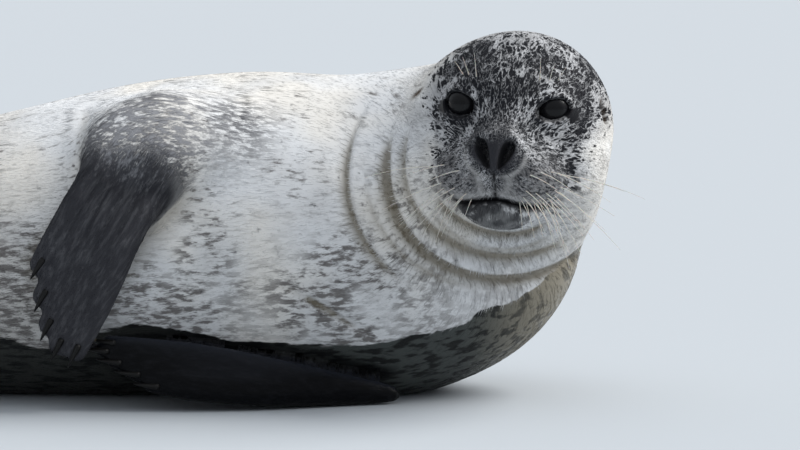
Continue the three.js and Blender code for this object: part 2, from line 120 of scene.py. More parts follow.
# %% [markdown]
# ## Trunk and neck
#
# The trunk is an oval tube that swells to the shoulders and tapers to the hips. Its sections are
# the few widths and heights that a tape measure would give. A low mass over the shoulder blade
# swells the upper flank. The throat is one deep bulge in front of the shoulders, the jowl a second
# one under the jaw, and the nape a stout column from the shoulders to the skull.

# %% Trunk and neck
TRUNK_X = [-960, -860, -720, -560, -420, -290, -180, -60, 70]
TRUNK_Y = [70, 62, 46, 30, 18, 10, 6, 2, 0]
TRUNK_Z = [52, 64, 84, 106, 126, 142, 154, 160, 158]
TRUNK_HALF_WIDTH = [50, 76, 112, 142, 160, 170, 177, 180, 176]
TRUNK_HALF_HEIGHT = [46, 66, 92, 116, 136, 153, 166, 173, 171]
REAR_CAP, FRONT_CAP = 60.0, 176.0  # how far the rounded ends reach past the last stations
SHOULDER_BLADE, BLADE_RADII, BLADE_FILLET = (-118, -92, 256), (96, 62, 46), 40
THROAT, THROAT_RADII = (165, -30, 184), (128, 118, 150)
JOWL, JOWL_RADII = (226, -92, 212), (79, 84, 72)
NAPE = ((196, -84, 268), (110, -10, 190), 96, 124)  # from, to, and the radius at each
NECK_FILLET = 30


def trunk(p):
    x, y, z = p[..., 0], p[..., 1], p[..., 2]
    width = through(x, TRUNK_X, TRUNK_HALF_WIDTH)
    height = through(x, TRUNK_X, TRUNK_HALF_HEIGHT)
    past_front, past_rear = x - TRUNK_X[-1], TRUNK_X[0] - x
    past = np.maximum(np.maximum(past_front, past_rear), 0)
    cap = np.where(past_front > 0, FRONT_CAP, REAR_CAP)
    a = (y - through(x, TRUNK_X, TRUNK_Y)) / width
    b = (z - through(x, TRUNK_X, TRUNK_Z)) / height
    c = past / cap
    k0 = np.sqrt(a * a + b * b + c * c) + 1e-6
    k1 = np.sqrt((a / width) ** 2 + (b / height) ** 2 + (c / cap) ** 2) + 1e-9
    return blend(k0 * (k0 - 1) / k1, ellipsoid(p, SHOULDER_BLADE, BLADE_RADII), BLADE_FILLET)


def neck(p):
    column = blend(ellipsoid(p, THROAT, THROAT_RADII), limb(p, *NAPE), NECK_FILLET)
    return blend(column, ellipsoid(p, JOWL, JOWL_RADII), NECK_FILLET)


print("trunk:", len(TRUNK_X), "stations from", TRUNK_X[0], "to", TRUNK_X[-1], "mm")

# %% [markdown]
# ## Head
#
# A harbor seal's head is a smooth dome with a short dog-like muzzle. The whisker pads bulge on
# both sides of the nose, and the chin tucks in below them. It is modelled in the head's own axes:
# side, forward, up. Masses that come in pairs are measured with the side coordinate folded over.

# %% Head masses
HEAD_CENTRE = np.float32([218.5, -122, 281])
HEAD_YAW, HEAD_PITCH, HEAD_ROLL = np.radians([10.6, -1.0, 2.9])


def head_axes():
    """The head's side, forward and up directions, as the columns of a matrix."""
    forward = unit(
        [
            -np.sin(HEAD_YAW) * np.cos(HEAD_PITCH),
            -np.cos(HEAD_YAW) * np.cos(HEAD_PITCH),
            np.sin(HEAD_PITCH),
        ]
    )
    upright = unit(np.float32([0, 0, 1]) - forward * forward[2])
    level = np.cross(upright, forward)
    up = unit(upright * np.cos(HEAD_ROLL) + level * np.sin(HEAD_ROLL))
    return np.stack([np.cross(up, forward), forward, up], 1).astype(np.float32)


HEAD_AXES = head_axes()


def to_head(p):
    return (p - HEAD_CENTRE) @ HEAD_AXES


def from_head(q):
    return np.asarray(q, np.float32) @ HEAD_AXES.T + HEAD_CENTRE


def skull(q, m):
    """Head masses; q is a place in head axes and m the same with its side folded over."""
    f = ellipsoid(q, (0, -12, -2), (97, 106, 101))  # cranium
    f = blend(f, ellipsoid(m, (44, 36, -44), (50, 52, 48)), 34)  # cheeks
    f = blend(f, ellipsoid(q, (0, 62, 16), (54, 34, 44)), 34)  # forehead
    f = blend(f, limb(q, (0, 76, 14), (0, 120, -10), 31, 24), 22)  # bridge of the muzzle
    f = blend(f, ellipsoid(q, (0, 90, -32), (50, 46, 33)), 26)  # muzzle
    f = blend(f, ellipsoid(m, (27, 98, -39), (34, 34, 25)), 22)  # whisker pads
    f = blend(f, ellipsoid(q, (0, 127, -15), (26, 17, 20)), 18)  # nose pad
    return blend(f, ellipsoid(q, (0, 84, -72), (44, 42, 26)), 16)  # chin


print("the face looks towards", np.round(HEAD_AXES[:, 1], 2))

# %% [markdown]
# ## Features of the face
#
# The eyes are large balls under thick lids, with an almond opening. The nostrils are two slots
# that lean apart at the top and shut like valves under water. A groove runs from between them to
# the lip, and the mouth is one long line that turns up at the corners. A seal of this kind has no
# ear flaps, only a small slit on each side. Each feature is cut from, or added to, the distance.

# %% Eyes and their lids
EYE_CENTRE = np.float32([42.5, 61, 26.5])
EYE_RADIUS = 20.0
LID = 3.0
LID_WIDTH, LID_ABOVE, LID_BELOW = 16, 9.4, 9.0  # from the middle of the opening to its edges
LEFT_OPENING = 0.88  # the left eye is a little more closed
GAZE = unit([0.34, 0.935, 0.08])
EYE_OUT = unit(np.cross(GAZE, [0, 0, 1]))
EYE_UP = np.cross(EYE_OUT, GAZE)
EYE_TILT = math.radians(12)


def turned(a, b, angle):
    return a * math.cos(angle) + b * math.sin(angle), b * math.cos(angle) - a * math.sin(angle)


def almond(m, side):
    """Distance in the lids' own plane to the edge of the eye opening, and height above the eye."""
    e = m - EYE_CENTRE
    out, up = turned(e @ EYE_OUT, e @ EYE_UP, EYE_TILT)
    height = e @ GAZE
    flare = np.clip(1 + (height - 16) / 30, 0.94, 1.3)
    flare = flare * np.where(side > 0, LEFT_OPENING, 1.0)
    half_height = np.where(up > 0, LID_ABOVE, LID_BELOW) * flare
    edge = np.sqrt((out / (LID_WIDTH * flare)) ** 2 + (up / half_height) ** 2 + 1e-6)
    return (edge - 1) * 10, height


def eyelids(f, m, side):
    """Thick lids round each ball, with a low rim at the edge of the opening."""
    f = blend(f, ellipsoid(m, EYE_CENTRE, [EYE_RADIUS + LID] * 3), 9)
    edge, height = almond(m, side)
    f = f - 0.7 * bell(edge - 2.5, 3.0) * (height > 0)
    return carve(f, np.maximum(edge, 8 - height), 2.0)


print("the eyeballs' middles are", 2 * EYE_CENTRE[0], "mm apart")

# %% Nostrils, mouth and ears
NOSTRIL, NOSTRIL_LEAN = (10.8, 143, -14), math.radians(68)
NOSTRIL_HEIGHT, NOSTRIL_WIDTH, NOSTRIL_DEPTH = 12.0, 4.7, 20  # from its middle
EAR_SLIT = (92, 14, 24)


def nostril_slot(m):
    """Under 1 inside a nostril, which leans apart from the other at the top."""
    side, forward, up = (m[..., k] - NOSTRIL[k] for k in range(3))
    high, across = turned(side, up, NOSTRIL_LEAN)
    width = NOSTRIL_WIDTH + 0.12 * np.clip(high, -NOSTRIL_HEIGHT, NOSTRIL_HEIGHT)
    inside = (high / NOSTRIL_HEIGHT) ** 2 + (across / width) ** 2
    return np.sqrt(inside + (forward / NOSTRIL_DEPTH) ** 2)


def nostrils(f, m):
    return carve(f, (nostril_slot(m) - 1) * 5.5, 4)


def lip_height(side):
    """Height of the line between the lips, at a distance to the side of the middle."""
    return -60 - 7 * ramp(side, 0, 42) + 5 * ramp(side, 42, 66)


def mouth(f, m):
    """The groove under the nose, and the line between the lips."""
    side, forward, up = m[..., 0], m[..., 1], m[..., 2]
    groove = ramp(up, -64, -56) * (1 - ramp(up, -38, -28)) * (forward > 60)
    f = f + 2.6 * bell(side, 2.4) * groove
    above = up - lip_height(side)
    line = np.where(above > 0, bell(above, 2.0), bell(above, 4.5))
    return f + 5.0 * line * (1 - ramp(side, 34, 60)) * ramp(forward, 40, 70)


def head(p):
    q = to_head(p)
    m = q.copy()
    m[..., 0] = np.abs(m[..., 0])
    f = mouth(nostrils(eyelids(skull(q, m), m, q[..., 0]), m), m)
    return carve(f, ellipsoid(m, EAR_SLIT, (9, 3, 9)), 4)


nose_end = from_head([[0, 160, -15]])
print("a place before the nose is", round(float(head(nose_end)[0]), 1), "mm off the head")

# %% [markdown]
# ## Folds and creases
#
# Turning the head so far gathers the skin of the neck into rings about the face. They could be cut
# one by one, but in head axes they are nearly circles, so a fold is a radius, a depth and the
# stretch of turn in which it shows: a narrow valley, steep towards the face, that slopes away
# outside. The creases of the flank are nearly straight, so each is a few lengths with a depth and a
# width.

# %% Folds of the throat, and creases of the flank
# start and end of each crease on the belly side (x, z), depth and width: five short lengths run
# up from the belly line, deepest in the middle, and three lie above the foreflipper
CREASES = [
    ((-40, 134), (-18, 125), 1.0, 5.0),
    ((-18, 125), (8, 112), 2.6, 4.6),
    ((8, 112), (34, 96), 5.5, 4.2),
    ((34, 96), (52, 84), 3.4, 4.6),
    ((52, 84), (70, 72), 1.6, 5.0),
    ((-212, 318), (-220, 290), 1.2, 11.0),
    ((-220, 290), (-222, 262), 2.6, 10.0),
    ((-222, 262), (-214, 236), 2.4, 8.0),
]


def crease_depth(p):
    """How far the creases sink the belly side at p."""
    flat = np.stack([p[..., 0], np.zeros_like(p[..., 0]), p[..., 2]], -1)
    depth = np.zeros_like(p[..., 0])
    for (x0, z0), (x1, z1), sink, width in CREASES:
        away = limb(flat, (x0, 0, z0), (x1, 0, z1), 0, 0)
        depth = np.maximum(depth, sink * bell(away, width))
    return depth * (p[..., 1] < -40)


FOLD_CENTRE = (-8.0, -32.0)
FOLD_WANDER = 3  # how far a fold strays from its circle
INNER_SIDE, OUTER_SIDE = 3.5, 9  # a fold is steep towards the face and slopes away outside
# radius, depth, first and last degree of the turn
FOLDS = [
    (59, 3.5, 200, 300),
    (72, 6.0, 195, 305),
    (86, 3.5, 205, 300),
    (97, 5.5, 150, 300),
    (117, 9.0, 160, 305),
    (134, 3.0, 175, 250),
    (152, 6.5, 155, 222),
]


def fold_depth(p):
    """How far the folds sink the surface at p."""
    q = to_head(p)
    a, c = q[..., 0] - FOLD_CENTRE[0], q[..., 2] - FOLD_CENTRE[1]
    distance = np.sqrt(a * a + c * c)
    turn = np.degrees(np.arctan2(c, a)) % 360
    depth = np.zeros_like(distance)
    for radius, sink, first, last in FOLDS:
        past = distance - radius - FOLD_WANDER * np.sin(np.radians(2 * turn) + radius)
        shown = ramp(turn, first, first + 30) * (1 - ramp(turn, last - 10, last + 25))
        outer = np.exp(-np.maximum(past, 0) / OUTER_SIDE)
        valley = np.where(past < 0, bell(past, INNER_SIDE), outer)
        depth = depth + shown * sink * valley
    return depth * ramp(q[..., 1], -110, -60) * (1 - ramp(q[..., 1], 92, 118))


print("folds:", len(FOLDS), "and lengths of crease:", len(CREASES))

# %% [markdown]
# ## Flippers
#
# Every flipper is a hand of five digits in a web. The foreflippers are short and thick, longest at
# their leading edge. The hind ones are fans, longest at both edges. One function makes them all:
# digits are tapering curves, the web is a thinner strip between each two, and the whole is flatter
# than it is wide.

# %% Flippers
DIGITS = 5
DIGIT_STEPS = 7
WEB_THICKNESS = 0.7
FLIPPERS = {
    "foreflipper_right": dict(
        first=[(-131, -152, 243), (-168, -186, 185), (-196, -190, 118), (-223, -187, 63)],
        last=[(-179, -138, 268), (-211, -175, 225), (-242, -181, 175), (-259, -178, 149)],
        reach=[0, 18, 20, 12, 0], radii=[18, 17, 15, 12], web=10, notch=12, flat=1.5, axis=1,
    ),
    "foreflipper_left": dict(
        first=[(92, -120, 10), (0, -150, 33), (-100, -162, 55), (-192, -166, 69)],
        last=[(39, -136, 12), (-37, -168, 17), (-104, -178, 22), (-148, -176, 26)],
        reach=[0, 18, 16, 8, 0], radii=[9, 13, 13, 8], web=10, notch=10, flat=1.5, axis=1,
    ),
    "hindflipper_left": dict(
        first=[(-900, 30, 30), (-985, 16, 20), (-1075, 2, 10), (-1158, -14, 5)],
        last=[(-915, 84, 32), (-1000, 104, 20), (-1080, 124, 10), (-1152, 146, 5)],
        reach=[0, -10, -15, -10, 0], radii=[20, 17, 13, 8], web=14, notch=6, flat=1.3, axis=2,
    ),
    "hindflipper_right": dict(
        first=[(-900, 46, 72), (-985, 32, 76), (-1070, 18, 72), (-1146, 2, 60)],
        last=[(-915, 96, 70), (-1000, 118, 72), (-1075, 142, 66), (-1138, 164, 56)],
        reach=[0, -10, -15, -10, 0], radii=[20, 17, 13, 8], web=14, notch=6, flat=1.3, axis=2,
    ),
}
SHOULDER = ((-142, -114, 264), (-150, -151, 246), 40, 30)
TAIL_CENTRE, TAIL_RADII = (-1010, 76, 49), (82, 30, 13)


def digit_curve(flipper, i, steps=DIGIT_STEPS):
    """Points along digit i; halfway between two whole numbers it is the web between two digits."""
    first, last = np.array(flipper["first"], float), np.array(flipper["last"], float)
    points = first + (last - first) * i / (DIGITS - 1)
    outwards = unit(points[-1] - points[-2])
    low, high = int(math.floor(i)), int(math.ceil(i))
    reach = (flipper["reach"][low] + flipper["reach"][high]) / 2
    points[-1] += outwards * (reach - (0 if low == high else flipper["notch"]))
    ends = np.vstack([2 * points[0] - points[1], points, 2 * points[-1] - points[-2]])
    curve = []
    for t in np.linspace(0, len(points) - 1, steps + 1):
        k = min(int(t), len(points) - 2)
        s = t - k
        a, b, c, d = ends[k : k + 4]
        curve.append(
            0.5 * (2 * b + (c - a) * s + (2 * a - 5 * b + 4 * c - d) * s**2)
            + 0.5 * (3 * b - a - 3 * c + d) * s**3
        )
    return np.array(curve, np.float32)


for name, flipper in FLIPPERS.items():
    steps = np.diff(digit_curve(flipper, DIGITS // 2), axis=0)
    print(name, round(float(np.sqrt((steps**2).sum(1)).sum())), "mm along its middle digit")

# %% Digits and web as one form
BOX_MARGIN = 45
SAFE_STEP, NEAR = 12, 45  # added to the distance to a box, and where the form itself is worked out
TAIL_BOX = ((-1110, 20, 20), (-900, 130, 80))


def flipper_form(p, flipper):
    """Distance to a flipper, measured in a stretched space where its flat digits are round."""
    squash = np.ones(3, np.float32)
    squash[flipper["axis"]] = flipper["flat"]
    q = p * squash
    shares = np.linspace(0, 1, DIGIT_STEPS + 1)
    radii = np.interp(shares, np.linspace(0, 1, 4), flipper["radii"])
    f = None
    for strip in range(2 * DIGITS - 1):
        stoutness = WEB_THICKNESS if strip % 2 else 1.0
        points = digit_curve(flipper, strip / 2) * squash
        g = None
        for k in range(DIGIT_STEPS):
            piece = limb(
                q, points[k], points[k + 1], radii[k] * stoutness, radii[k + 1] * stoutness
            )
            g = piece if g is None else np.minimum(g, piece)
        f = g if f is None else blend(f, g, flipper["web"])
    return f / flipper["flat"]


def reach_box(flipper):
    points = np.vstack([flipper["first"], flipper["last"]])
    return points.min(0) - BOX_MARGIN, points.max(0) + BOX_MARGIN


def nearby(p, low, high, form):
    """form(p) inside a box, and a safe distance outside it, so that far places cost nothing."""
    gap = np.maximum(np.maximum(np.float32(low) - p, p - np.float32(high)), 0)
    out = np.sqrt((gap * gap).sum(-1)) + SAFE_STEP
    inside = out < NEAR
    if inside.any():
        out[inside] = form(p[inside])
    return out.astype(np.float32)


def foreflipper_right(p):
    f = flipper_form(p, FLIPPERS["foreflipper_right"])
    return blend(f, limb(p, *SHOULDER), 20)


def limbs(p):
    """The distance to each flipper and the tail, by name."""
    made = {"tail": nearby(p, *TAIL_BOX, lambda at: ellipsoid(at, TAIL_CENTRE, TAIL_RADII))}
    for name, flipper in FLIPPERS.items():
        form = partial(flipper_form, flipper=flipper)
        if name == "foreflipper_right":
            form = foreflipper_right
        made[name] = nearby(p, *reach_box(flipper), form)
    return made


print("limbs:", *limbs(np.zeros((1, 3), np.float32)))

# %% [markdown]
# ## The whole seal
#
# The parts join with fillets as wide as the flesh is thick there. The coat lies on the skin, so the
# skin is drawn a little inside the animal's outline. Where it presses on the floor it goes flat.

# %% The whole seal
COAT_DEPTH = 1.8
FLIPPER_COAT_DEPTH = 0.8
HEAD_BOX = ((95, -300, 160), (330, 20, 395))
TRUNK_FILLET, HEAD_FILLET = 46, 24
FLOOR_EDGE = 5  # how round the body's edge is where it meets the floor


def torso(p):
    f = blend(trunk(p), neck(p), TRUNK_FILLET)
    f = blend(f, nearby(p, *HEAD_BOX, head), HEAD_FILLET)
    return f + fold_depth(p) + crease_depth(p)


def fillet(name, p):
    """How wide a fillet joins a limb to the body: the shoulder melts into the flank."""
    if name == "foreflipper_right":
        return 9 + 45 * ramp(p[..., 2], 195, 270)
    return 4 if name == "tail" else 9


def seal(p):
    p = np.asarray(p, np.float32)
    f = torso(p) + COAT_DEPTH
    for name, g in limbs(p).items():
        f = blend(f, g + FLIPPER_COAT_DEPTH, fillet(name, p))
    return carve(f, p[..., 2], FLOOR_EDGE)


in_the_chest = np.float32([[0, 0, 150]])
print("the chest's middle is", round(-float(seal(in_the_chest)[0])), "mm under the skin")

# %% [markdown]
# ## From the form to a skin
#
# A distance has no faces, so the skin is netted out of it. First a coarse net: one point in each
# cell that the surface crosses, joined to its neighbours. Sculpting by hand would give the same
# even faces, but not the same ones each time. Thin flippers are swollen for this net, so that no
# cell misses them, and the points then slide down onto the true form.

# %% A closed net round the form
BASE_CELL = 8.0
SWELLING = 2.5
NET_LOW, NET_HIGH = (-1215, -325, -14), (345, 225, 412)


def swollen(p):
    """The seal with thicker flippers, cut off flat at the floor."""
    f = seal(p)
    for g in limbs(p).values():
        f = np.minimum(f, g - SWELLING)
    return np.maximum(f, -p[..., 2])


def net(form, low, high, cell):
    """Points and triangles of a closed net round the form."""
    xs, ys, zs = [np.arange(a, b, cell, dtype=np.float32) for a, b in zip(low, high)]
    field = np.stack([form(np.stack(np.meshgrid(x, ys, zs, indexing="ij"), -1)[0]) for x in xs])
    size = np.array(field.shape)
    total = np.zeros((*(size - 1), 3))
    count = np.zeros(size - 1)
    crossings = []
    for axis in range(3):
        a, b = np.swapaxes(field, 0, axis)[:-1], np.swapaxes(field, 0, axis)[1:]
        crossed = (a < 0) != (b < 0)
        share = np.where(crossed, a / np.where(crossed, a - b, 1), 0)
        crossed, share, solid = (np.swapaxes(v, 0, axis) for v in (crossed, share, a < 0))
        place = np.stack(np.indices(crossed.shape), -1).astype(float)
        place[..., axis] += share
        across = [k for k in range(3) if k != axis]
        for d0 in (0, 1):
            for d1 in (0, 1):
                window = [slice(None)] * 3
                window[across[0]] = slice(d0, d0 + size[across[0]] - 1)
                window[across[1]] = slice(d1, d1 + size[across[1]] - 1)
                window = tuple(window)
                total += place[window] * crossed[window][..., None]
                count += crossed[window]
        crossings.append((axis, across, crossed, solid))
    used = count > 0
    number = np.full(used.shape, -1)
    number[used] = np.arange(used.sum())
    points = np.float32(low) + cell * (total[used] / count[used][:, None])
    triangles = []
    for axis, across, crossed, solid in crossings:
        at = np.argwhere(crossed)
        ring = []
        for d0, d1 in ((1, 1), (0, 1), (0, 0), (1, 0)):
            step = np.zeros(3, int)
            step[across[0]], step[across[1]] = d0, d1
            ring.append(number[tuple((at - step).T)])
        ring = np.stack(ring, 1)
        outwards = solid[crossed] != (axis == 1)
        ring[~outwards] = ring[~outwards][:, ::-1]
        triangles += [ring[:, [0, 1, 2]], ring[:, [0, 2, 3]]]
    return points, np.vstack(triangles)


coarse_points, coarse_triangles = net(swollen, NET_LOW, NET_HIGH, BASE_CELL)
print("coarse net:", len(coarse_points), "points,", len(coarse_triangles), "triangles")

# %% [markdown]
# ## Finer where the seal needs it
#
# Broad flanks need few faces, but lids, nostrils and the folds of the throat need small ones. Each
# edge that is too long for its place is halved, four times over, and after each pass the points
# even out and slide back onto the form.

# %% How long an edge may be at each place
BODY_EDGE, FLIPPER_EDGE, CREASE_EDGE = 8.0, 4.6, 3.0
HEAD_EDGE, FEATURE_EDGE, LID_EDGE = 2.6, 1.25, 0.65
HEAD_REACH = 175
FACE_FEATURES = [  # middle in head axes, on one side, and reach
    ((38, 80, 30), 26),  # eye
    ((12, 135, -14), 30),  # nose
    ((22, 110, -60), 26),  # lips
    ((48, 88, -60), 24),  # corner of the mouth
    (EAR_SLIT, 14),
]


def face_size(p):
    """The longest edge that the place allows."""
    q = to_head(p)
    m = np.stack([np.abs(q[:, 0]), q[:, 1], q[:, 2]], 1)
    from_head_centre = np.sqrt((q * q).sum(1))
    size = np.where(from_head_centre < HEAD_REACH, HEAD_EDGE, BODY_EDGE)
    size = np.where(fold_depth(p) > 0.25, HEAD_EDGE, size)
    for middle, reach in FACE_FEATURES:
        close = ((m - np.float32(middle)) ** 2).sum(1) < reach**2
        size = np.where(close, FEATURE_EDGE, size)
    edge, height = almond(m, q[:, 0])
    size = np.where((np.abs(edge) < 3.5) & (height > 8) & (height < 40), LID_EDGE, size)
    size = np.where(crease_depth(p) > 0.25, np.minimum(size, CREASE_EDGE), size)
    for g in limbs(p).values():
        size = np.where(g < 6, np.minimum(size, FLIPPER_EDGE), size)
    return size


print("shortest edge allowed:", face_size(from_head([EYE_CENTRE + 20 * GAZE]))[0], "mm, at a lid")

# %% Halve the long edges
LONG = 1.6  # an edge is halved when it is this many times the length allowed


def sides_of(triangles, count):
    """Every edge once, and which edge is each triangle's first, second and third."""
    pair = np.sort(np.stack([triangles, np.roll(triangles, -1, 1)], -1), -1)
    key, which = np.unique(pair[..., 0] * count + pair[..., 1], return_inverse=True)
    return np.stack([key // count, key % count], 1), which.reshape(-1, 3)


def halved(points, triangles):
    """The net with each long edge cut in two, and its triangles split to match."""
    edges, which = sides_of(triangles, len(points))
    ends = points[edges]
    middles = ends.mean(1)
    long = np.sqrt(((ends[:, 1] - ends[:, 0]) ** 2).sum(1)) > LONG * face_size(middles)
    fresh = np.full(len(edges), -1)
    fresh[long] = len(points) + np.arange(long.sum())
    cut = fresh[which]
    cuts = (cut >= 0).sum(1)
    made = [triangles[cuts == 0]]
    turn = np.where(cuts == 1, (cut >= 0).argmax(1), (cut < 0).argmax(1) + 1)
    turn = np.where(cuts == 3, 0, turn)
    order = (turn[:, None] + np.arange(3)) % 3
    a, b, c = np.take_along_axis(triangles, order, 1).T
    ab, bc, ca = np.take_along_axis(cut, order, 1).T
    patterns = {
        1: [(a, ab, c), (ab, b, c)],
        2: [(ab, b, bc), (a, ab, bc), (a, bc, c)],
        3: [(a, ab, ca), (ab, b, bc), (ca, bc, c), (ab, bc, ca)],
    }
    for n, pattern in patterns.items():
        made += [np.stack(corners, 1)[cuts == n] for corners in pattern]
    return np.vstack([points, middles[long]]), np.vstack(made)


# %% Settle the points on the form
PASSES = 4


def slope(form, p, step=0.5):
    """How fast a form grows at p in each direction, which is also the way its surface faces."""
    sides = np.eye(3, dtype=np.float32) * step
    return np.stack([form(p + s) - form(p - s) for s in sides], 1) / (2 * step)


def onto(form, p, rounds, furthest=3.0):
    """Points moved along the form's slope until they lie on its surface."""
    for _ in range(rounds):
        g = slope(form, p)
        f = np.clip(form(p), -furthest, furthest)
        p = p - (f / np.maximum((g * g).sum(1), 0.2))[:, None] * g
    return p


def evened(points, triangles, rounds, pull=0.5):
    """Points moved part of the way to the middle of their neighbours."""
    edges, _ = sides_of(triangles, len(points))
    a, b = edges.T
    share = 1 / np.bincount(np.r_[a, b], minlength=len(points))
    for _ in range(rounds):
        total = np.empty(points.shape)
        for k in range(3):
            total[:, k] = np.bincount(a, points[b, k], len(points))
            total[:, k] += np.bincount(b, points[a, k], len(points))
        points = points + pull * (total * share[:, None] - points)
    return points


points, triangles = coarse_points, coarse_triangles
points = onto(seal, evened(points, triangles, 2), 4)
for _ in range(PASSES):
    points, triangles = halved(points, triangles)
    points = onto(seal, evened(points, triangles, 2), 2)
    print("skin:", len(points), "points,", len(triangles), "triangles")

# %% [markdown]
# ## The lie of the coat
#
# Hair grows back from the nose over the head, along the body to the tail, and down each flipper.
# The lie is kept on the skin as a direction at every point, so that the short tufts and the streaks
# of the bump both follow it. Two stretched sets of coordinates go with it: a pattern that reads
# them comes out long in the direction of the hair.

# %% Lie of the coat, and coordinates that are stretched along it
NOSE_TIP = np.float32([0, 132, -18])
BACKWARDS = np.float32([-1, 0.05, -0.12])
SPOT_STRETCH, STRAND_STRETCH = 0.36, 0.12
FLIPPER_LIE = {
    "foreflipper_right": (-84, -28, -138),
    "foreflipper_left": (-235, -30, 38),
    "hindflipper_left": (-1, 0, -0.05),
    "hindflipper_right": (-1, 0.05, -0.05),
    "tail": (-1, 0, 0),
}


def stretched_on_head(from_nose, away, stretch):
    """Coordinates in which a step away from the nose counts only as the share given."""
    head_radius = 100.0
    return away * (head_radius ** (1 - stretch) * from_nose**stretch)[:, None] * MM


def stretched_on_body(p, stretch):
    """The same along the body, and along each flipper."""
    flow = p * np.float32([stretch, 1, 1])
    for name, g in limbs(p).items():
        lie = unit(FLIPPER_LIE[name])
        on = (g < 4)[:, None]
        flow = np.where(on, p - (1 - stretch) * (p @ lie)[:, None] * lie, flow)
    return flow * MM


def coat_lie(p, normal, away, on_head):
    """The way the hair points at each place, along the skin."""
    lie = away * on_head[:, None] + BACKWARDS * (1 - on_head)[:, None]
    for name, g in limbs(p).items():
        on = (1 - ramp(g, 3, 12))[:, None]
        lie = lie * (1 - on) + unit(FLIPPER_LIE[name]) * on
    lie = lie - (lie * normal).sum(1, keepdims=True) * normal
    return lie / np.maximum(np.sqrt((lie * lie).sum(1, keepdims=True)), 1e-4)


points = points.astype(np.float32)
normals = slope(seal, points)
normals /= np.maximum(np.sqrt((normals**2).sum(1, keepdims=True)), 1e-6)
head_place = to_head(points)
from_nose = np.sqrt(((head_place - NOSE_TIP) ** 2).sum(1)) + 4
away = ((head_place - NOSE_TIP) / from_nose[:, None]) @ HEAD_AXES.T
from_head_centre = np.sqrt((head_place**2).sum(1))
on_head = 1 - ramp(from_head_centre, 120, 300)
hair_places = {
    "lie": coat_lie(points, normals, away, on_head),
    "root": points * MM,
    "spot_head": stretched_on_head(from_nose, away, SPOT_STRETCH),
    "spot_body": stretched_on_body(points, SPOT_STRETCH),
    "strand_head": stretched_on_head(from_nose, away, STRAND_STRETCH),
    "strand_body": stretched_on_body(points, STRAND_STRETCH),
    "head_share": 1 - ramp(from_head_centre, 150, 215),
    "tone": np.full(len(points), 0.5),
}
print("head share of the skin:", round(float((on_head > 0.5).mean()), 2))

# %% [markdown]
# ## Where each marking lies
#
# A harbor seal's pattern has a few zones: a dark mottled mask on the face, slate flippers, bare
# black leather round the eyes and on the nose, tan hair down in the folds, and, on a seal that is
# half wet, a soaked belly below a ragged line. Each zone is a soft number from 0 to 1 that comes
# from the place on the body, and the materials add the fine pattern inside it.

# %% Zones of the face
def face_zones(q, m):
    """The dark mask and the mottled pads; m is q, in head axes, with its side folded over."""
    side, forward, up = q[:, 0], q[:, 1], q[:, 2]
    upper = np.sqrt(((side - 4) / 116) ** 2 + ((up - 30) / np.where(up > 30, 96, 92)) ** 2)
    lower = np.sqrt(((side - 5) / 96) ** 2 + ((up + 28) / 42) ** 2)
    mask = 1 - ramp(np.minimum(upper, lower), 0.42, 1.18)
    # The crown is darkest between the eyes and in a band over each, and pale round the lids.
    middle = bell(side + 2, 24) * ramp(up, -28, -8) * (1 - ramp(up, 40, 60))
    band = bell(up - 67, 17) * ramp(-side, 10, 30)
    far_band = 0.5 * bell(up - 62, 12) * ramp(side, 40, 60)
    top = 0.9 * ramp(up, 74, 92) * ramp(side, -45, -15)
    under_eye = np.sqrt(((side - 38) / 28) ** 2 + (up / 17) ** 2)
    eye_ring = bell(almond(m, side)[0] - 8, 6) * (forward > 0)
    frosted = 0.6 * np.maximum(1 - ramp(under_eye, 0.5, 1.3), eye_ring)
    pads = ellipsoid(m, (27, 106, -42), (36, 30, 25))
    beside_pads = ellipsoid(m, (66, 62, -46), (15, 30, 12))
    below_pads = ellipsoid(m, (48, 84, -66), (13, 24, 14))
    # dark chin patch; its top reaches the lower lip, partly as painted shade under the lip
    chin = ellipsoid(q, (-3, 96, -76), (37, 34, 21))
    return {
        "mask": mask * ramp(forward, -95, -30),
        "crown": np.maximum(middle, np.maximum(band, far_band)) - np.maximum(top, frosted),
        "muzzle": (1 - ramp(pads, -7, 10)) * ramp(forward, 62, 88),
        "patches": 1 - ramp(np.minimum(beside_pads, below_pads), -6, 9),
        "chin": 1 - ramp(chin, -5, 7),
    }


# %% [markdown]
# ## Bare skin of the face
#
# The rims of the eyes, the nose pad, the nostrils and the lips have no hair. They could be parts of
# their own, but they are the same skin, so they are zones too, each measured from the feature that
# it surrounds. A pale line of short hair follows the edge of the upper lip.

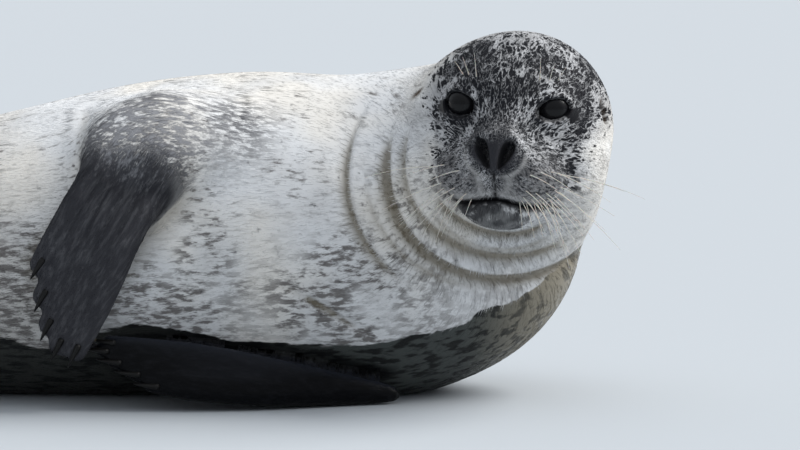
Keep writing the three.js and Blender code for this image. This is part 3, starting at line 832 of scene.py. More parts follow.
# %% Zones of bare skin
def bare_zones(q, m):
    """Eye rims, nose, lips and ears, and the pale hair along the upper lip."""
    side, forward, up = m[:, 0], q[:, 1], q[:, 2]
    edge, height = almond(m, q[:, 0])
    around_eye = (1 - ramp(edge, 0.8, 3.2)) * (height > 0)
    inner = ellipsoid(m, EYE_CENTRE + np.float32([-14, 14, -6]), (8, 12, 5))
    outer = ellipsoid(m, EYE_CENTRE + np.float32([22, 6, -4]), (8, 12, 7))
    pad = ellipsoid(q, (0, 138, -14), (25, 20, 19))
    wings = bell(pad - 5.5, 2.2) * (1 - ramp(up, -22, -8)) * ramp(up, -40, -34)
    above = up - lip_height(side)
    lips = bell(above + 1.5, 3.4) * (1 - ramp(side, 44, 62)) * ramp(forward, 50, 75)
    lip_edge = bell(above - 6.5, 3.6) * (1 - ramp(side, 40, 56))
    by_groove = bell(side - 11 - 0.2 * above, 4.5) * (1 - ramp(up, -40, -30)) * ramp(above, 0, 5)
    groove = bell(side, 2.0) * ramp(up, -62, -56) * (1 - ramp(up, -36, -28))
    return {
        "bare": np.maximum(around_eye, 1 - ramp(np.minimum(inner, outer), -1, 3)),
        "leather": (1 - ramp(pad, -6, 4)) * (1 - ramp(up, -6, 8)),
        "nostril": (1 - ramp(nostril_slot(m), 1.0, 1.35)) * ramp(forward, 110, 125),
        "wings": wings * ramp(forward, 100, 115),
        "lips": np.maximum(lips, groove * (forward > 60)),
        "pale_lip": np.maximum(lip_edge, by_groove) * ramp(forward, 60, 85),
        "ear": 1 - ramp(ellipsoid(m, EAR_SLIT, (13, 3, 11)), -1, 4),
    }


# %% [markdown]
# ## Wet, dark and folded parts
#
# The line between soaked and dry coat rises from the tail to the breast, so it is a height at each
# station of the trunk. The flippers are slate, and that dark runs up over the shoulder. Folds hold
# stained hair and painted shade. The hollow where the foreflipper meets the flank, the lower flank
# and the belly beside the folded flipper get painted shade, and the folded flipper a painted gleam.

# %% Zones of the trunk and flippers
WET_X = [-1200, -700, -300, -249, -215, -60, -22, 48, 93, 140, 165, 184, 209, 234, 263, 283]
WET_Z = [20, 40, 68, 56, 74, 69, 64, 65, 70, 77, 85, 97, 104, 117, 138, 156]
SHOULDER_STREAK = ((-165, -140, 268), (-70, -130, 284))


def digit_ridges(p, flipper):
    """1 where the skin runs over a digit's bone, 0 in the web."""
    from_bone = np.full(len(p), 1e3, np.float32)
    for i in range(DIGITS):
        line = digit_curve(flipper, i)
        for start, end in zip(line[:-1], line[1:]):
            from_bone = np.minimum(from_bone, limb(p, start, end, 0, 0))
    thickness = flipper["radii"][1] / flipper["flat"]
    return bell(np.maximum(from_bone - thickness, 0), 2.2)


def body_zones(p, normal):
    """Folds, flippers, shoulder and wet line, at places on the body."""
    part = limbs(p)
    left, right = part["foreflipper_left"], part["foreflipper_right"]
    hind = np.minimum(part["hindflipper_right"], part["hindflipper_left"])
    height, belly_side = p[:, 2], p[:, 1] < -60
    by_shoulder = ramp(height, 195, 262) * (p[:, 1] < -40)
    off_limb = np.minimum(np.minimum(right, left), hind + 2) - 1.5 + 22 * by_shoulder
    from_shoulder = limb(p, *SHOULDER_STREAK, 0, 0)
    behind_flipper = ramp(-p[:, 0], 225, 290) * (1 - ramp(height, 100, 210)) * (p[:, 1] < 0)
    on_left = 1 - ramp(left, 2, 6)
    return {
        # folds and creases: stained hair, partly painted shade
        "fold": np.maximum(ramp(fold_depth(p), 1.5, 6.5), 0.9 * ramp(crease_depth(p), 1.2, 5.0)),
        "slate": 1 - ramp(off_limb / (3.5 + 60 * by_shoulder), 0, 1),
        "wet_flipper": on_left,
        # painted contact shadow: the belly beside the folded flipper, also kept free of tufts
        "wet_crease": 1 - ramp(left, 7, 13),
        # painted gleam of the sky on the upward faces of the wet flipper
        "wet_top": on_left * ramp(normal[:, 2], 0.25, 0.95),
        # where the flipper is painted paler, a painted highlight over the digits' bones
        "ridge": digit_ridges(p, FLIPPERS["foreflipper_right"]),
        "shoulder": (1 - ramp(from_shoulder, 14, 74)) * ramp(-p[:, 1], 20, 70),
        # painted shade in the hollow where the foreflipper meets the flank
        "shade": (1 - ramp(right, 3, 20)) * (1 - ramp(height, 200, 250)) * belly_side,
        "rim": bell(right - 3.0, 1.5) * (1 - ramp(height, 215, 250)) * belly_side,
        "wet": 1 - ramp(height - through(p[:, 0], WET_X, WET_Z), -12, 12),
        # painted shade: greyer lower on the flank and behind the foreflipper, where the spots are
        # also denser
        "low": 1 - ramp(height, 90, 300) + 2.6 * behind_flipper,
    }


# %% Measure every zone
folded = head_place.copy()
folded[:, 0] = np.abs(folded[:, 0])
skin_zones = {
    **face_zones(head_place, folded),
    **bare_zones(head_place, folded),
    **body_zones(points, normals),
}
for name, share in skin_zones.items():
    print(f"{name:12s} {float((share > 0.5).mean()):6.3f} of the points")

# %% [markdown]
# ## The skin as a mesh
#
# The points, triangles, lie and zones go into one mesh, so that no seam shows where the packed
# solids part. It also gets a flat unwrap of its own shape.

# %% The skin as a mesh
MAP_NAME = "OFBake"


def link(name, data):
    """An object of that data, put in the scene."""
    obj = bpy.data.objects.new(name, data)
    bpy.context.scene.collection.objects.link(obj)
    return obj


def keep(mesh, name, values):
    """Store a number or a vector at every point of a mesh."""
    kind, field = ("FLOAT", "value") if values.ndim == 1 else ("FLOAT_VECTOR", "vector")
    layer = mesh.attributes.new(name, kind, "POINT")
    layer.data.foreach_set(field, np.ascontiguousarray(values, np.float32).ravel())


def unwrap(obj, margin):
    """Cut a mesh into flat islands and lay them out on its map."""
    bpy.context.view_layer.objects.active = obj
    obj.select_set(True)
    bpy.ops.object.mode_set(mode="EDIT")
    bpy.ops.mesh.select_all(action="SELECT")
    bpy.ops.uv.smart_project(angle_limit=math.radians(66), island_margin=margin)
    bpy.ops.object.mode_set(mode="OBJECT")
    obj.select_set(False)
    obj.data.uv_layers.active.name = MAP_NAME


skin_mesh = bpy.data.meshes.new("skin")
skin_mesh.from_pydata(points * MM, [], triangles.tolist())
skin_mesh.shade_smooth()
skin = link("skin", skin_mesh)
for name, share in skin_zones.items():
    keep(skin_mesh, name, share)
for name, values in hair_places.items():
    keep(skin_mesh, name, values)
unwrap(skin, 0.0005)
print("skin mesh:", len(skin_mesh.polygons), "faces, map:", skin_mesh.uv_layers[0].name)

# %% [markdown]
# ## Helpers for node trees
#
# A material is a small sum of noises and ramps, and a tree that grows tufts is a chain of steps.
# Both are nodes joined by links. One helper adds a node and fills its inputs, and a second one,
# for materials, reads the skin's zones, ramps a number and mixes two colours.

# %% A helper that adds nodes
class Nodes:
    """A node tree being written, one node at a time."""

    def fill(self, socket, value):
        if isinstance(value, bpy.types.NodeSocket):
            self.tree.links.new(value, socket)
        elif isinstance(value, tuple) and len(value) == 3 and socket.type == "RGBA":
            socket.default_value = (*value, 1)
        else:
            socket.default_value = value

    def node(self, kind, inputs, output=0, **settings):
        """Add a node; the answer is one of its outputs, or the node itself for output None."""
        made = self.tree.nodes.new(kind)
        for key, value in settings.items():
            setattr(made, key, value)
        for key, value in inputs.items():
            self.fill(made.inputs[key], value)
        return made if output is None else made.outputs[output]

    def shader(self, kind, inputs, output=0, **settings):
        return self.node("ShaderNode" + kind, inputs, output, **settings)

    def maths(self, operation, a, b=0.0, clamp=False):
        return self.shader("Math", {0: a, 1: b}, operation=operation, use_clamp=clamp)

    def times(self, a, b):
        return self.maths("MULTIPLY", a, b)

    def plus(self, a, b):
        return self.maths("ADD", a, b)

    def scaled(self, vector, scale):
        return self.shader("VectorMath", {0: vector, "Scale": scale}, operation="SCALE")


# %% A helper for materials
class Paint(Nodes):
    """A material being written."""

    def __init__(self, name):
        self.material = bpy.data.materials.new(name)
        self.material.use_nodes = True
        self.tree = self.material.node_tree
        self.surface = self.tree.nodes["Principled BSDF"]

    def number(self, name):
        return self.shader("Attribute", {}, "Fac", attribute_name=name)

    def place(self, name):
        return self.shader("Attribute", {}, "Vector", attribute_name=name)

    def on_object(self):
        return self.shader("TexCoord", {}, "Object")

    def ramp(self, value, low, high, start=0.0, end=1.0):
        inputs = {"Value": value, "From Min": low, "From Max": high, "To Min": start, "To Max": end}
        return self.shader("MapRange", inputs, interpolation_type="SMOOTHSTEP")

    def mix(self, share, a, b):
        return self.shader("Mix", {0: share, 6: a, 7: b}, 2, data_type="RGBA")

    def mix_numbers(self, share, a, b):
        return self.shader("Mix", {0: share, 2: a, 3: b}, 0, data_type="FLOAT")

    def noise(self, place, scale, detail=2.0, roughness=0.5):
        inputs = {"Vector": place, "Scale": scale, "Detail": detail, "Roughness": roughness}
        return self.shader("TexNoise", inputs)

    def along_hair(self, kind, scale, detail=2.0, roughness=0.5):
        """A noise drawn out along the lie, from the head's coordinates and the body's."""
        body = self.noise(self.place(kind + "_body"), scale, detail, roughness)
        head = self.noise(self.place(kind + "_head"), scale, detail, roughness)
        return self.mix_numbers(self.number("head_share"), body, head)

    def from_middle(self, place, scale):
        """0 along thin wandering lines, where a noise crosses its middle."""
        return self.maths("ABSOLUTE", self.plus(self.noise(place, scale, 1.5, 0.6), -0.5))

    def bump(self, height, strength, distance, **more):
        inputs = {"Height": height, "Strength": strength, "Distance": distance, **more}
        return self.shader("Bump", inputs)

    def set(self, **values):
        for key, value in values.items():
            self.fill(self.surface.inputs[key.replace("_", " ")], value)


# %% [markdown]
# ## Dry coat
#
# A real coat is pale or dark hair by hair. Painting it by hand would fix one view; here the colour
# of each hair comes from noise at its root, inside the zones kept on the skin. The dry coat is
# silver, warm or cool in broad clouds, with dark spots drawn out along the hair. Olive goes into
# the folds as stained hair and painted shade, and into the hollow by the flipper as painted shade.
# The lower flank is painted greyer as shade, and its spots grow denser there.

# %% Dry coat
WARM_PALE, COOL_PALE = (0.87, 0.84, 0.79), (0.80, 0.81, 0.825)
DRY_GREY = (0.42, 0.415, 0.41)
SPOT = (0.14, 0.13, 0.125)
OLIVE_SHADE_AND_STAIN = (0.17, 0.14, 0.085)


def dry_coat(paint):
    root, low = paint.place("root"), paint.number("low")
    clouds = paint.ramp(paint.noise(root, 8), 0.38, 0.62)
    pale = paint.mix(clouds, WARM_PALE, COOL_PALE)
    pale = paint.mix(paint.ramp(paint.noise(root, 14), 0.35, 0.75, 0.0, 0.35), pale, DRY_GREY)
    # painted shade: the coat turns greyer towards the bottom
    pale = paint.mix(paint.times(low, 0.18), pale, DRY_GREY)
    more_spots = paint.times(paint.maths("MINIMUM", low, 1.15), 0.12)
    spots = paint.plus(paint.along_hair("spot", 175, 3, 0.62), more_spots)
    patches = paint.ramp(paint.noise(root, 13), 0.36, 0.56, 0.2, 1.0)
    patches = paint.maths("MAXIMUM", patches, paint.ramp(low, 1.0, 1.8))
    by_throat = paint.ramp(paint.shader("SeparateXYZ", {0: root}), 0.08, 0.17, 1.0, 0.45)
    patches = paint.times(patches, by_throat)
    spots = paint.times(paint.ramp(spots, 0.54, 0.71, 0.0, 0.92), patches)
    flecks = paint.ramp(paint.along_hair("spot", 260, 2, 0.6), 0.55, 0.75, 0.0, 0.25)
    dry = paint.mix(paint.maths("MAXIMUM", spots, paint.times(flecks, low)), pale, SPOT)
    # olive in the folds and creases: stained hair, partly painted shade
    dry = paint.mix(paint.times(paint.number("fold"), 0.75), dry, OLIVE_SHADE_AND_STAIN)
    # painted shade: olive in the hollow where the foreflipper meets the flank
    return paint.mix(paint.times(paint.number("shade"), 0.55), dry, OLIVE_SHADE_AND_STAIN)


# %% [markdown]
# ## Wet coat
#
# Water fills the air between hairs, so soaked fur is nearly black and its spots blacker still. It
# dries paler and tan towards the breast.

# %% Wet coat
WET_FUR, WET_GREY = (0.042, 0.044, 0.041), (0.066, 0.073, 0.070)
WET_SPOT = (0.016, 0.017, 0.017)
WET_TAN = (0.32, 0.285, 0.22)
WET_SLATE = (0.002, 0.0022, 0.003)


def wet_coat(paint):
    forward = paint.shader("SeparateXYZ", {0: paint.place("root")})
    chest, breast = paint.ramp(forward, -0.04, 0.08), paint.ramp(forward, 0.16, 0.26)
    wet = paint.mix(paint.times(breast, 0.8), paint.mix(chest, WET_FUR, WET_GREY), WET_TAN)
    spots = paint.ramp(paint.along_hair("spot", 120, 2, 0.55), 0.46, 0.60)
    wet = paint.mix(paint.maths("SUBTRACT", spots, paint.times(breast, 0.45)), wet, WET_SPOT)
    # painted shadow: near black where the belly meets the folded flipper
    return paint.mix(paint.number("wet_crease"), wet, WET_SLATE)


# %% [markdown]
# ## Mask, muzzle and chin
#
# The white of the face is a net of thin lines. It thickens until it is all white at the edge of the
# mask, and thins out where the face is darkest. Over it lie the dotted whisker pads, a pale lip,
# a few smudges beside the mouth and a mottled chin, whose top by the lower lip is partly painted
# shade.

# %% Mask, muzzle and chin
CHARCOAL = (0.011, 0.012, 0.016)
FROST = (0.53, 0.535, 0.55)
MUZZLE = (0.25, 0.245, 0.245)
CHIN = (0.12, 0.122, 0.124)


def mask_over(paint, colour, ragged):
    face_at, mask = paint.place("spot_head"), paint.number("mask")
    from_line = paint.maths(
        "MINIMUM", paint.from_middle(face_at, 105), paint.from_middle(face_at, 215)
    )
    patchy = paint.ramp(paint.noise(paint.place("root"), 42), 0.36, 0.62, -0.022, 0.024)
    thick = paint.plus(paint.ramp(mask, 0.0, 0.85, 0.20, 0.006), patchy)
    thick = paint.plus(thick, paint.times(paint.number("crown"), -0.030))
    thick = paint.maths("MAXIMUM", paint.plus(thick, paint.times(ragged, 0.05)), -0.005)
    dark = paint.ramp(paint.maths("SUBTRACT", from_line, thick), -0.020, 0.034)
    dark = paint.times(dark, paint.ramp(mask, 0.04, 0.5, 0.15, 1.0))
    white = paint.mix(paint.ramp(mask, 0.3, 0.8), colour, FROST)
    greying = paint.ramp(paint.noise(face_at, 48, 3, 0.6), 0.40, 0.62)
    fading = paint.ramp(mask, 0.0, 0.25, 0.0, 0.24)
    return paint.mix(dark, paint.mix(paint.times(greying, fading), white, SPOT), CHARCOAL)


def muzzle_over(paint, colour):
    root, face_at = paint.place("root"), paint.place("spot_head")
    dots = paint.ramp(paint.noise(face_at, 230, 2, 0.6), 0.44, 0.60)
    pads = paint.mix(dots, MUZZLE, CHARCOAL)
    colour = paint.mix(paint.times(paint.number("muzzle"), 0.85), colour, pads)
    colour = paint.mix(paint.times(paint.number("pale_lip"), 0.55), colour, DRY_GREY)
    smudges = paint.ramp(paint.noise(face_at, 150, 3, 0.6), 0.44, 0.56)
    smudges = paint.times(smudges, paint.number("patches"))
    colour = paint.mix(paint.times(smudges, 0.85), colour, CHARCOAL)
    mottle = paint.plus(paint.noise(root, 110, 3, 0.6), -0.5)
    chin_edge = paint.plus(paint.number("chin"), paint.times(mottle, 2.4))
    chin = paint.mix(paint.ramp(paint.noise(root, 55), 0.45, 0.58), CHIN, CHARCOAL)
    return paint.mix(paint.ramp(chin_edge, 0.25, 0.85, 0.0, 0.92), colour, chin)


# %% [markdown]
# ## Flippers and shoulder
#
# The flippers are slate, painted a little paler along the bones as a highlight on their ridges.
# Frost whitens the shoulder in streaks, and the dark of the flipper breaks up into it. The folded
# flipper is wet through, so it is nearly black, with painted highlights in streaks and a painted
# gleam of the sky on its upward faces.

# %% Flippers and shoulder
SLATE, RIDGE_HIGHLIGHT = (0.0165, 0.017, 0.021), (0.06, 0.06, 0.068)
SHOULDER_FROST = (0.50, 0.505, 0.53)
SHOULDER_DARK = (0.10, 0.10, 0.112)
PAINTED_GLEAM = (0.030, 0.034, 0.046)


def flippers_over(paint, colour):
    streaks = paint.noise(paint.place("spot_body"), 190, 4, 0.7)
    long_streaks = paint.noise(paint.place("strand_body"), 230, 3, 0.6)
    shoulder, on_flipper = paint.number("shoulder"), paint.number("slate")
    frost = paint.ramp(paint.plus(streaks, paint.times(shoulder, 0.16)), 0.54, 0.74, 0.0, 0.8)
    frost = paint.times(frost, paint.plus(shoulder, 0.10))
    frost = paint.plus(frost, paint.ramp(long_streaks, 0.42, 0.75, 0.0, 0.08))
    # painted highlight: paler slate along the ridges over the digits' bones
    ridge_highlight = paint.maths("SUBTRACT", paint.number("ridge"), shoulder, clamp=True)
    slate = paint.mix(paint.times(ridge_highlight, 0.45), SLATE, RIDGE_HIGHLIGHT)
    slate = paint.mix(paint.times(shoulder, 0.8), slate, SHOULDER_DARK)
    slate = paint.mix(frost, slate, SHOULDER_FROST)
    # painted highlights: paler slate streaks on the wet flipper, then a painted gleam on its upward
    # faces
    wet_painted_gleam = paint.mix(paint.ramp(streaks, 0.45, 0.75, 0.0, 0.35), WET_SLATE, SLATE)
    wet_painted_gleam = paint.mix(paint.times(paint.number("wet_top"), 0.6), wet_painted_gleam, PAINTED_GLEAM)
    slate = paint.mix(paint.number("wet_flipper"), slate, wet_painted_gleam)
    breakup = paint.times(paint.plus(streaks, -0.5), paint.plus(paint.times(shoulder, 2.6), 0.2))
    colour = paint.mix(paint.ramp(paint.plus(on_flipper, breakup), 0.30, 0.70), colour, slate)
    sprinkle = paint.times(shoulder, paint.ramp(streaks, 0.40, 0.56, 0.0, 0.85))
    off_flipper = paint.maths("SUBTRACT", 1.0, on_flipper)
    colour = paint.mix(paint.times(sprinkle, off_flipper), colour, SHOULDER_DARK)
    return paint.mix(paint.times(paint.number("rim"), 0.35), colour, DRY_GREY)


# %% [markdown]
# ## The coat's material
#
# The layers go on in order, with bare skin last. The skin and the tufts could have a material each,
# but their markings would drift apart, so both read the same attributes through the same layers.
# Only the skin gets the bump: strands of hair, pores on bare skin and waves on the wet flipper.

# %% Coat material
NOSE = (0.028, 0.028, 0.033)
LEATHER = (0.006, 0.006, 0.008)
BLACK = (0.003, 0.003, 0.004)
EAR = (0.072, 0.045, 0.024)
BARE_LAYERS = [  # zone, how much of it shows, colour
    ("ear", 1.0, EAR),
    ("wings", 0.7, DRY_GREY),
    ("leather", 0.95, NOSE),
    ("bare", 1.0, LEATHER),
    ("lips", 1.0, BLACK),
    ("nostril", 1.0, BLACK),
]
DRY_ROUGHNESS, WET_ROUGHNESS, LEATHER_ROUGHNESS = 0.62, 0.24, 0.36


def coat_colour(paint):
    """The colour of hair at its root."""
    ragged = paint.plus(paint.along_hair("spot", 60, 3, 0.6), -0.5)
    wet_edge = paint.plus(paint.number("wet"), paint.times(ragged, 1.1))
    colour = paint.mix(paint.ramp(wet_edge, 0.44, 0.56), dry_coat(paint), wet_coat(paint))
    colour = muzzle_over(paint, mask_over(paint, colour, ragged))
    colour = flippers_over(paint, colour)
    for zone, share, shade in BARE_LAYERS:
        colour = paint.mix(paint.times(paint.number(zone), share), colour, shade)
    return colour


def coat_material(name, bumpy):
    paint = Paint(name)
    tone = paint.ramp(paint.number("tone"), 0.0, 1.0, 0.92, 1.07)
    wet_flipper = paint.number("wet_flipper")
    wet = paint.maths("MAXIMUM", paint.number("wet"), wet_flipper)
    bare = paint.maths("MAXIMUM", paint.number("bare"), paint.number("leather"))
    roughness = paint.mix_numbers(wet, DRY_ROUGHNESS, WET_ROUGHNESS)
    roughness = paint.mix_numbers(bare, roughness, LEATHER_ROUGHNESS)
    paint.set(Base_Color=paint.scaled(coat_colour(paint), tone), Roughness=roughness)
    paint.set(Sheen_Weight=0.02, Sheen_Roughness=0.5, Specular_IOR_Level=0.09)
    if bumpy:
        strands = paint.along_hair("strand", 900, 3, 0.6)
        pores = paint.noise(paint.place("root"), 700, 2, 0.6)
        fine = paint.bump(paint.mix_numbers(bare, strands, pores), 0.35, 0.0008)
        waves = paint.noise(paint.place("spot_body"), 75, 3, 0.55)
        paint.set(Normal=paint.bump(paint.times(waves, wet_flipper), 0.7, 0.004, Normal=fine))
    return paint.material


skin_mesh.materials.append(coat_material("coat on the skin", bumpy=True))
tuft_material = coat_material("coat in tufts", bumpy=False)
print("coat materials:", len(tuft_material.node_tree.nodes), "nodes each")

# %% [markdown]
# ## Tufts
#
# A seal's coat is short and lies flat, so most of it is bump. Where it breaks the outline, along
# the back, the cheeks, the folds and the edges of the flippers, small tufts stand a little proud.
# Particle hair would not survive the export, so each tuft is a thin closed blade. Geometry Nodes
# scatter them over the skin, lay each along the lie, and bow its tip back down.

# %% A helper for geometry trees
class Growth(Nodes):
    """A geometry tree being written, with named inputs."""

    KINDS = {"number": "Float", "count": "Int", "word": "String", "material": "Material"}

    def __init__(self, name):
        self.tree = bpy.data.node_groups.new(name, "GeometryNodeTree")
        sockets = self.tree.interface
        sockets.new_socket("Geometry", in_out="INPUT", socket_type="NodeSocketGeometry")
        sockets.new_socket("Geometry", in_out="OUTPUT", socket_type="NodeSocketGeometry")
        self.source = self.tree.nodes.new("NodeGroupInput")
        self.end = self.tree.nodes.new("NodeGroupOutput")

    def input(self, name, kind, value=None):
        kind = "NodeSocket" + self.KINDS[kind]
        socket = self.tree.interface.new_socket(name, in_out="INPUT", socket_type=kind)
        if value is not None:
            socket.default_value = value
        return self.source.outputs[name]

    def vector(self, x=0.0, y=0.0, z=0.0):
        return self.shader("CombineXYZ", {"X": x, "Y": y, "Z": z})

    def added(self, a, b):
        return self.shader("VectorMath", {0: a, 1: b}, operation="ADD")

    def named(self, name, kind="FLOAT_VECTOR"):
        return self.node("GeometryNodeInputNamedAttribute", {"Name": name}, data_type=kind)

    def random(self, low, high, seed):
        inputs = {2: low, 3: high, "Seed": seed}
        return self.node("FunctionNodeRandomValue", inputs, 1, data_type="FLOAT")

    def stored(self, geometry, name, value, kind="FLOAT_VECTOR"):
        inputs = {"Geometry": geometry, "Name": name, "Value": value}
        return self.node("GeometryNodeStoreNamedAttribute", inputs, data_type=kind, domain="POINT")

    def finish(self, geometry, material):
        """End the tree with real faces, smooth and in their material."""
        whole = self.node("GeometryNodeRealizeInstances", {"Geometry": geometry})
        whole = self.node("GeometryNodeSetShadeSmooth", {"Geometry": whole})
        inputs = {"Geometry": whole, "Material": material}
        self.tree.links.new(self.node("GeometryNodeSetMaterial", inputs), self.end.inputs[0])
        return self.tree


# %% A tree that lays tufts on a skin
BOW, FATNESS = -1.6, 0.7
SCATTER_SEED, TONE_SEED, TURN_SEED, RISE_SEED, SIZE_SEED = 3, 5, 7, 11, 13


def blade(grow):
    """A three-sided cone a unit long, whose tip bows towards the skin."""
    sizes = {"Vertices": 3, "Side Segments": 2, "Depth": 1.0}
    sizes |= {"Radius Top": 0.0, "Radius Bottom": 0.5}
    cone = grow.node("GeometryNodeMeshCone", sizes, fill_type="NGON")
    at = grow.node("GeometryNodeInputPosition", {})
    split = grow.shader("SeparateXYZ", {0: at}, None)
    up = split.outputs["Z"]
    bow = grow.times(grow.maths("POWER", up, 2.0), BOW)
    fatter = grow.times(grow.times(split.outputs["Y"], FATNESS), up)
    inputs = {"Geometry": grow.stored(cone, "patch", at), "Offset": grow.vector(x=bow, y=fatter)}
    return grow.node("GeometryNodeSetPosition", inputs)


def tuft_tree():
    grow = Growth("tufts along the lie")
    region = grow.input("Region", "word")
    density = grow.input("Tufts per square metre", "number", 10000.0)
    length = grow.input("Length", "number", 0.008)
    width = grow.input("Width", "number", 0.001)
    lift = grow.input("Lift", "number", 0.2)
    sway = grow.input("Sway", "number", 0.15)
    material = grow.input("Material", "material")

    inputs = {
        "Mesh": grow.source.outputs["Geometry"],
        "Density": grow.times(grow.named(region, "FLOAT"), density),
        "Seed": SCATTER_SEED,
    }
    scatter = grow.node(
        "GeometryNodeDistributePointsOnFaces", inputs, None, distribute_method="RANDOM"
    )
    spots = grow.stored(scatter.outputs["Points"], "root_uv", grow.named(MAP_NAME))
    spots = grow.stored(spots, "tone", grow.random(0.0, 1.0, TONE_SEED), "FLOAT")
    spots = grow.stored(spots, "surface", scatter.outputs["Normal"])

    surface, along = grow.named("surface"), grow.named("lie")
    side = grow.shader("VectorMath", {0: along, 1: surface}, operation="CROSS_PRODUCT")
    turn = grow.times(grow.random(-1.0, 1.0, TURN_SEED), sway)
    rise = grow.times(grow.random(0.6, 1.4, RISE_SEED), lift)
    heading = grow.added(grow.added(along, grow.scaled(side, turn)), grow.scaled(surface, rise))
    rotation = grow.node(
        "FunctionNodeAxesToRotation",
        {"Primary Axis": heading, "Secondary Axis": surface},
        primary_axis="Z",
        secondary_axis="X",
    )
    long = grow.times(length, grow.random(0.65, 1.25, SIZE_SEED))
    scale = grow.vector(x=grow.times(width, 0.6), y=width, z=long)
    inputs = {"Points": spots, "Instance": blade(grow), "Rotation": rotation, "Scale": scale}
    return grow.finish(grow.node("GeometryNodeInstanceOnPoints", inputs), material)


TUFT_TREE = tuft_tree()
print("tuft tree:", len(TUFT_TREE.nodes), "nodes")

# %% [markdown]
# ## Where the coat grows
#
# The coat is grown in regions, because hair is shortest on the face and flippers and longest on the
# flank. Each region is a share at every point of the skin: nothing grows on bare leather, in the
# nostrils and lips, or under the seal where it presses on the floor.

# %% Regions of the coat
TUFTS_IN_PIECE = 19000
COATS = {  # length and width in metres, lift, sway
    "coat_face": (0.0042, 0.0009, 0.18, 0.30),
    "coat_neck": (0.0080, 0.0008, 0.06, 0.12),
    "coat_flank": (0.0110, 0.0010, 0.045, 0.13),
    "coat_back": (0.0110, 0.0010, 0.045, 0.13),
    "coat_rear": (0.0130, 0.0012, 0.05, 0.14),
    "coat_flippers": (0.0050, 0.0009, 0.07, 0.16),
}

HAIRLESS = ("bare", "leather", "nostril", "lips", "wet_crease")
hairless = np.maximum.reduce([skin_zones[k] for k in HAIRLESS])
grows = (1 - ramp(hairless, 0.15, 0.6)) * ramp(points[:, 2], 1.0, 6.0)
x = points[:, 0]
on_flipper = skin_zones["slate"]
on_face = (1 - ramp(from_head_centre, 118, 135)) * ramp(head_place[:, 1], -40, -10)
front, middle = ramp(x, -40, 0), ramp(x, -460, -420)
far_side = ramp(points[:, 1], -10, 30)
regions = {
    "coat_face": on_face,
    "coat_neck": (1 - on_face) * front * (1 - on_flipper),
    "coat_flank": (1 - front) * middle * (1 - on_flipper) * (1 - far_side),
    "coat_back": (1 - front) * middle * (1 - on_flipper) * far_side,
    "coat_rear": (1 - middle) * (1 - on_flipper),
    "coat_flippers": on_flipper,
}
corner = points[triangles] * MM
doubled = np.cross(corner[:, 1] - corner[:, 0], corner[:, 2] - corner[:, 0])
face_area = np.sqrt((doubled**2).sum(1)) / 2
coat_density = {}
for name, share in regions.items():
    share = share * grows
    keep(skin_mesh, name, share)
    coat_density[name] = TUFTS_IN_PIECE / float((face_area * share[triangles].mean(1)).sum())
    print(f"{name}: {coat_density[name] / 1e6:.3f} tufts per square millimetre")

# %% Keep what a tree grows as a plain mesh
def grow_piece(name, source, tree, values, body="root"):
    """Run a tree on an object and keep what it makes as a plain mesh of its own."""
    modifier = source.modifiers.new("growth", "NODES")
    modifier.node_group = tree
    for item in tree.interface.items_tree:
        if item.in_out == "INPUT" and item.name in values:
            modifier[item.identifier] = values[item.name]
    source.update_tag()
    graph = bpy.context.evaluated_depsgraph_get()
    mesh = bpy.data.meshes.new_from_object(source.evaluated_get(graph), depsgraph=graph)
    source.modifiers.remove(modifier)
    mesh.name = name
    piece = link(name, mesh)
    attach(piece, body)
    return piece


# %% Grow the coat
PATCH = 0.003  # how much of the map a tuft takes
ABOVE_FLOOR = 0.0003  # metres


def per_point(mesh, name, width):
    """An attribute's values, one row for each point."""
    values = np.empty(len(mesh.vertices) * width, np.float32)
    mesh.attributes[name].data.foreach_get("vector" if width == 3 else "value", values)
    return values.reshape(-1, width)


def above_floor(mesh):
    """Lift to the floor the tuft tips that would dip through it."""
    place = np.empty(len(mesh.vertices) * 3, np.float32)
    mesh.vertices.foreach_get("co", place)
    place[2::3] = np.maximum(place[2::3], ABOVE_FLOOR)
    mesh.vertices.foreach_set("co", place)


def map_patches(mesh):
    """Give each tuft a small patch of the map, at the place of its root."""
    corner_points = np.empty(len(mesh.loops), np.int32)
    mesh.loops.foreach_get("vertex_index", corner_points)
    patch = per_point(mesh, "patch", 3)
    across_and_up = np.stack([patch[:, 1], patch[:, 2] - 0.5], 1)
    spots = per_point(mesh, "root_uv", 3)[:, :2] + PATCH * across_and_up
    for spare in ("patch", "root_uv", "surface", "lie", MAP_NAME, *COATS):
        if spare in mesh.attributes:
            mesh.attributes.remove(mesh.attributes[spare])
    layer = mesh.uv_layers.new(name=MAP_NAME)
    layer.uv.foreach_set("vector", spots[corner_points].ravel())


for name, sizes in COATS.items():
    values = dict(zip(("Length", "Width", "Lift", "Sway"), sizes))
    values |= {"Region": name, "Tufts per square metre": coat_density[name]}
    values["Material"] = tuft_material
    piece = grow_piece(name, skin, TUFT_TREE, values)
    above_floor(piece.data)
    map_patches(piece.data)
    print(name, len(piece.data.polygons), "faces")

flesh = ["head", "neck", "chest", "belly", "loins", "haunches", "tail", *FLIPPERS]
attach(skin, "root")
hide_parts(*flesh)
print("the skin replaces", len(flesh), "solids")

# %% [markdown]
# ## Eyes
#
# A seal's eye is nearly all iris and pupil: dark brown to black, very wet, with no white showing.
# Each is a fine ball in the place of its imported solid. How far each point is from the gaze tells
# the material where pupil, iris and rim are, so the rings need no drawing.

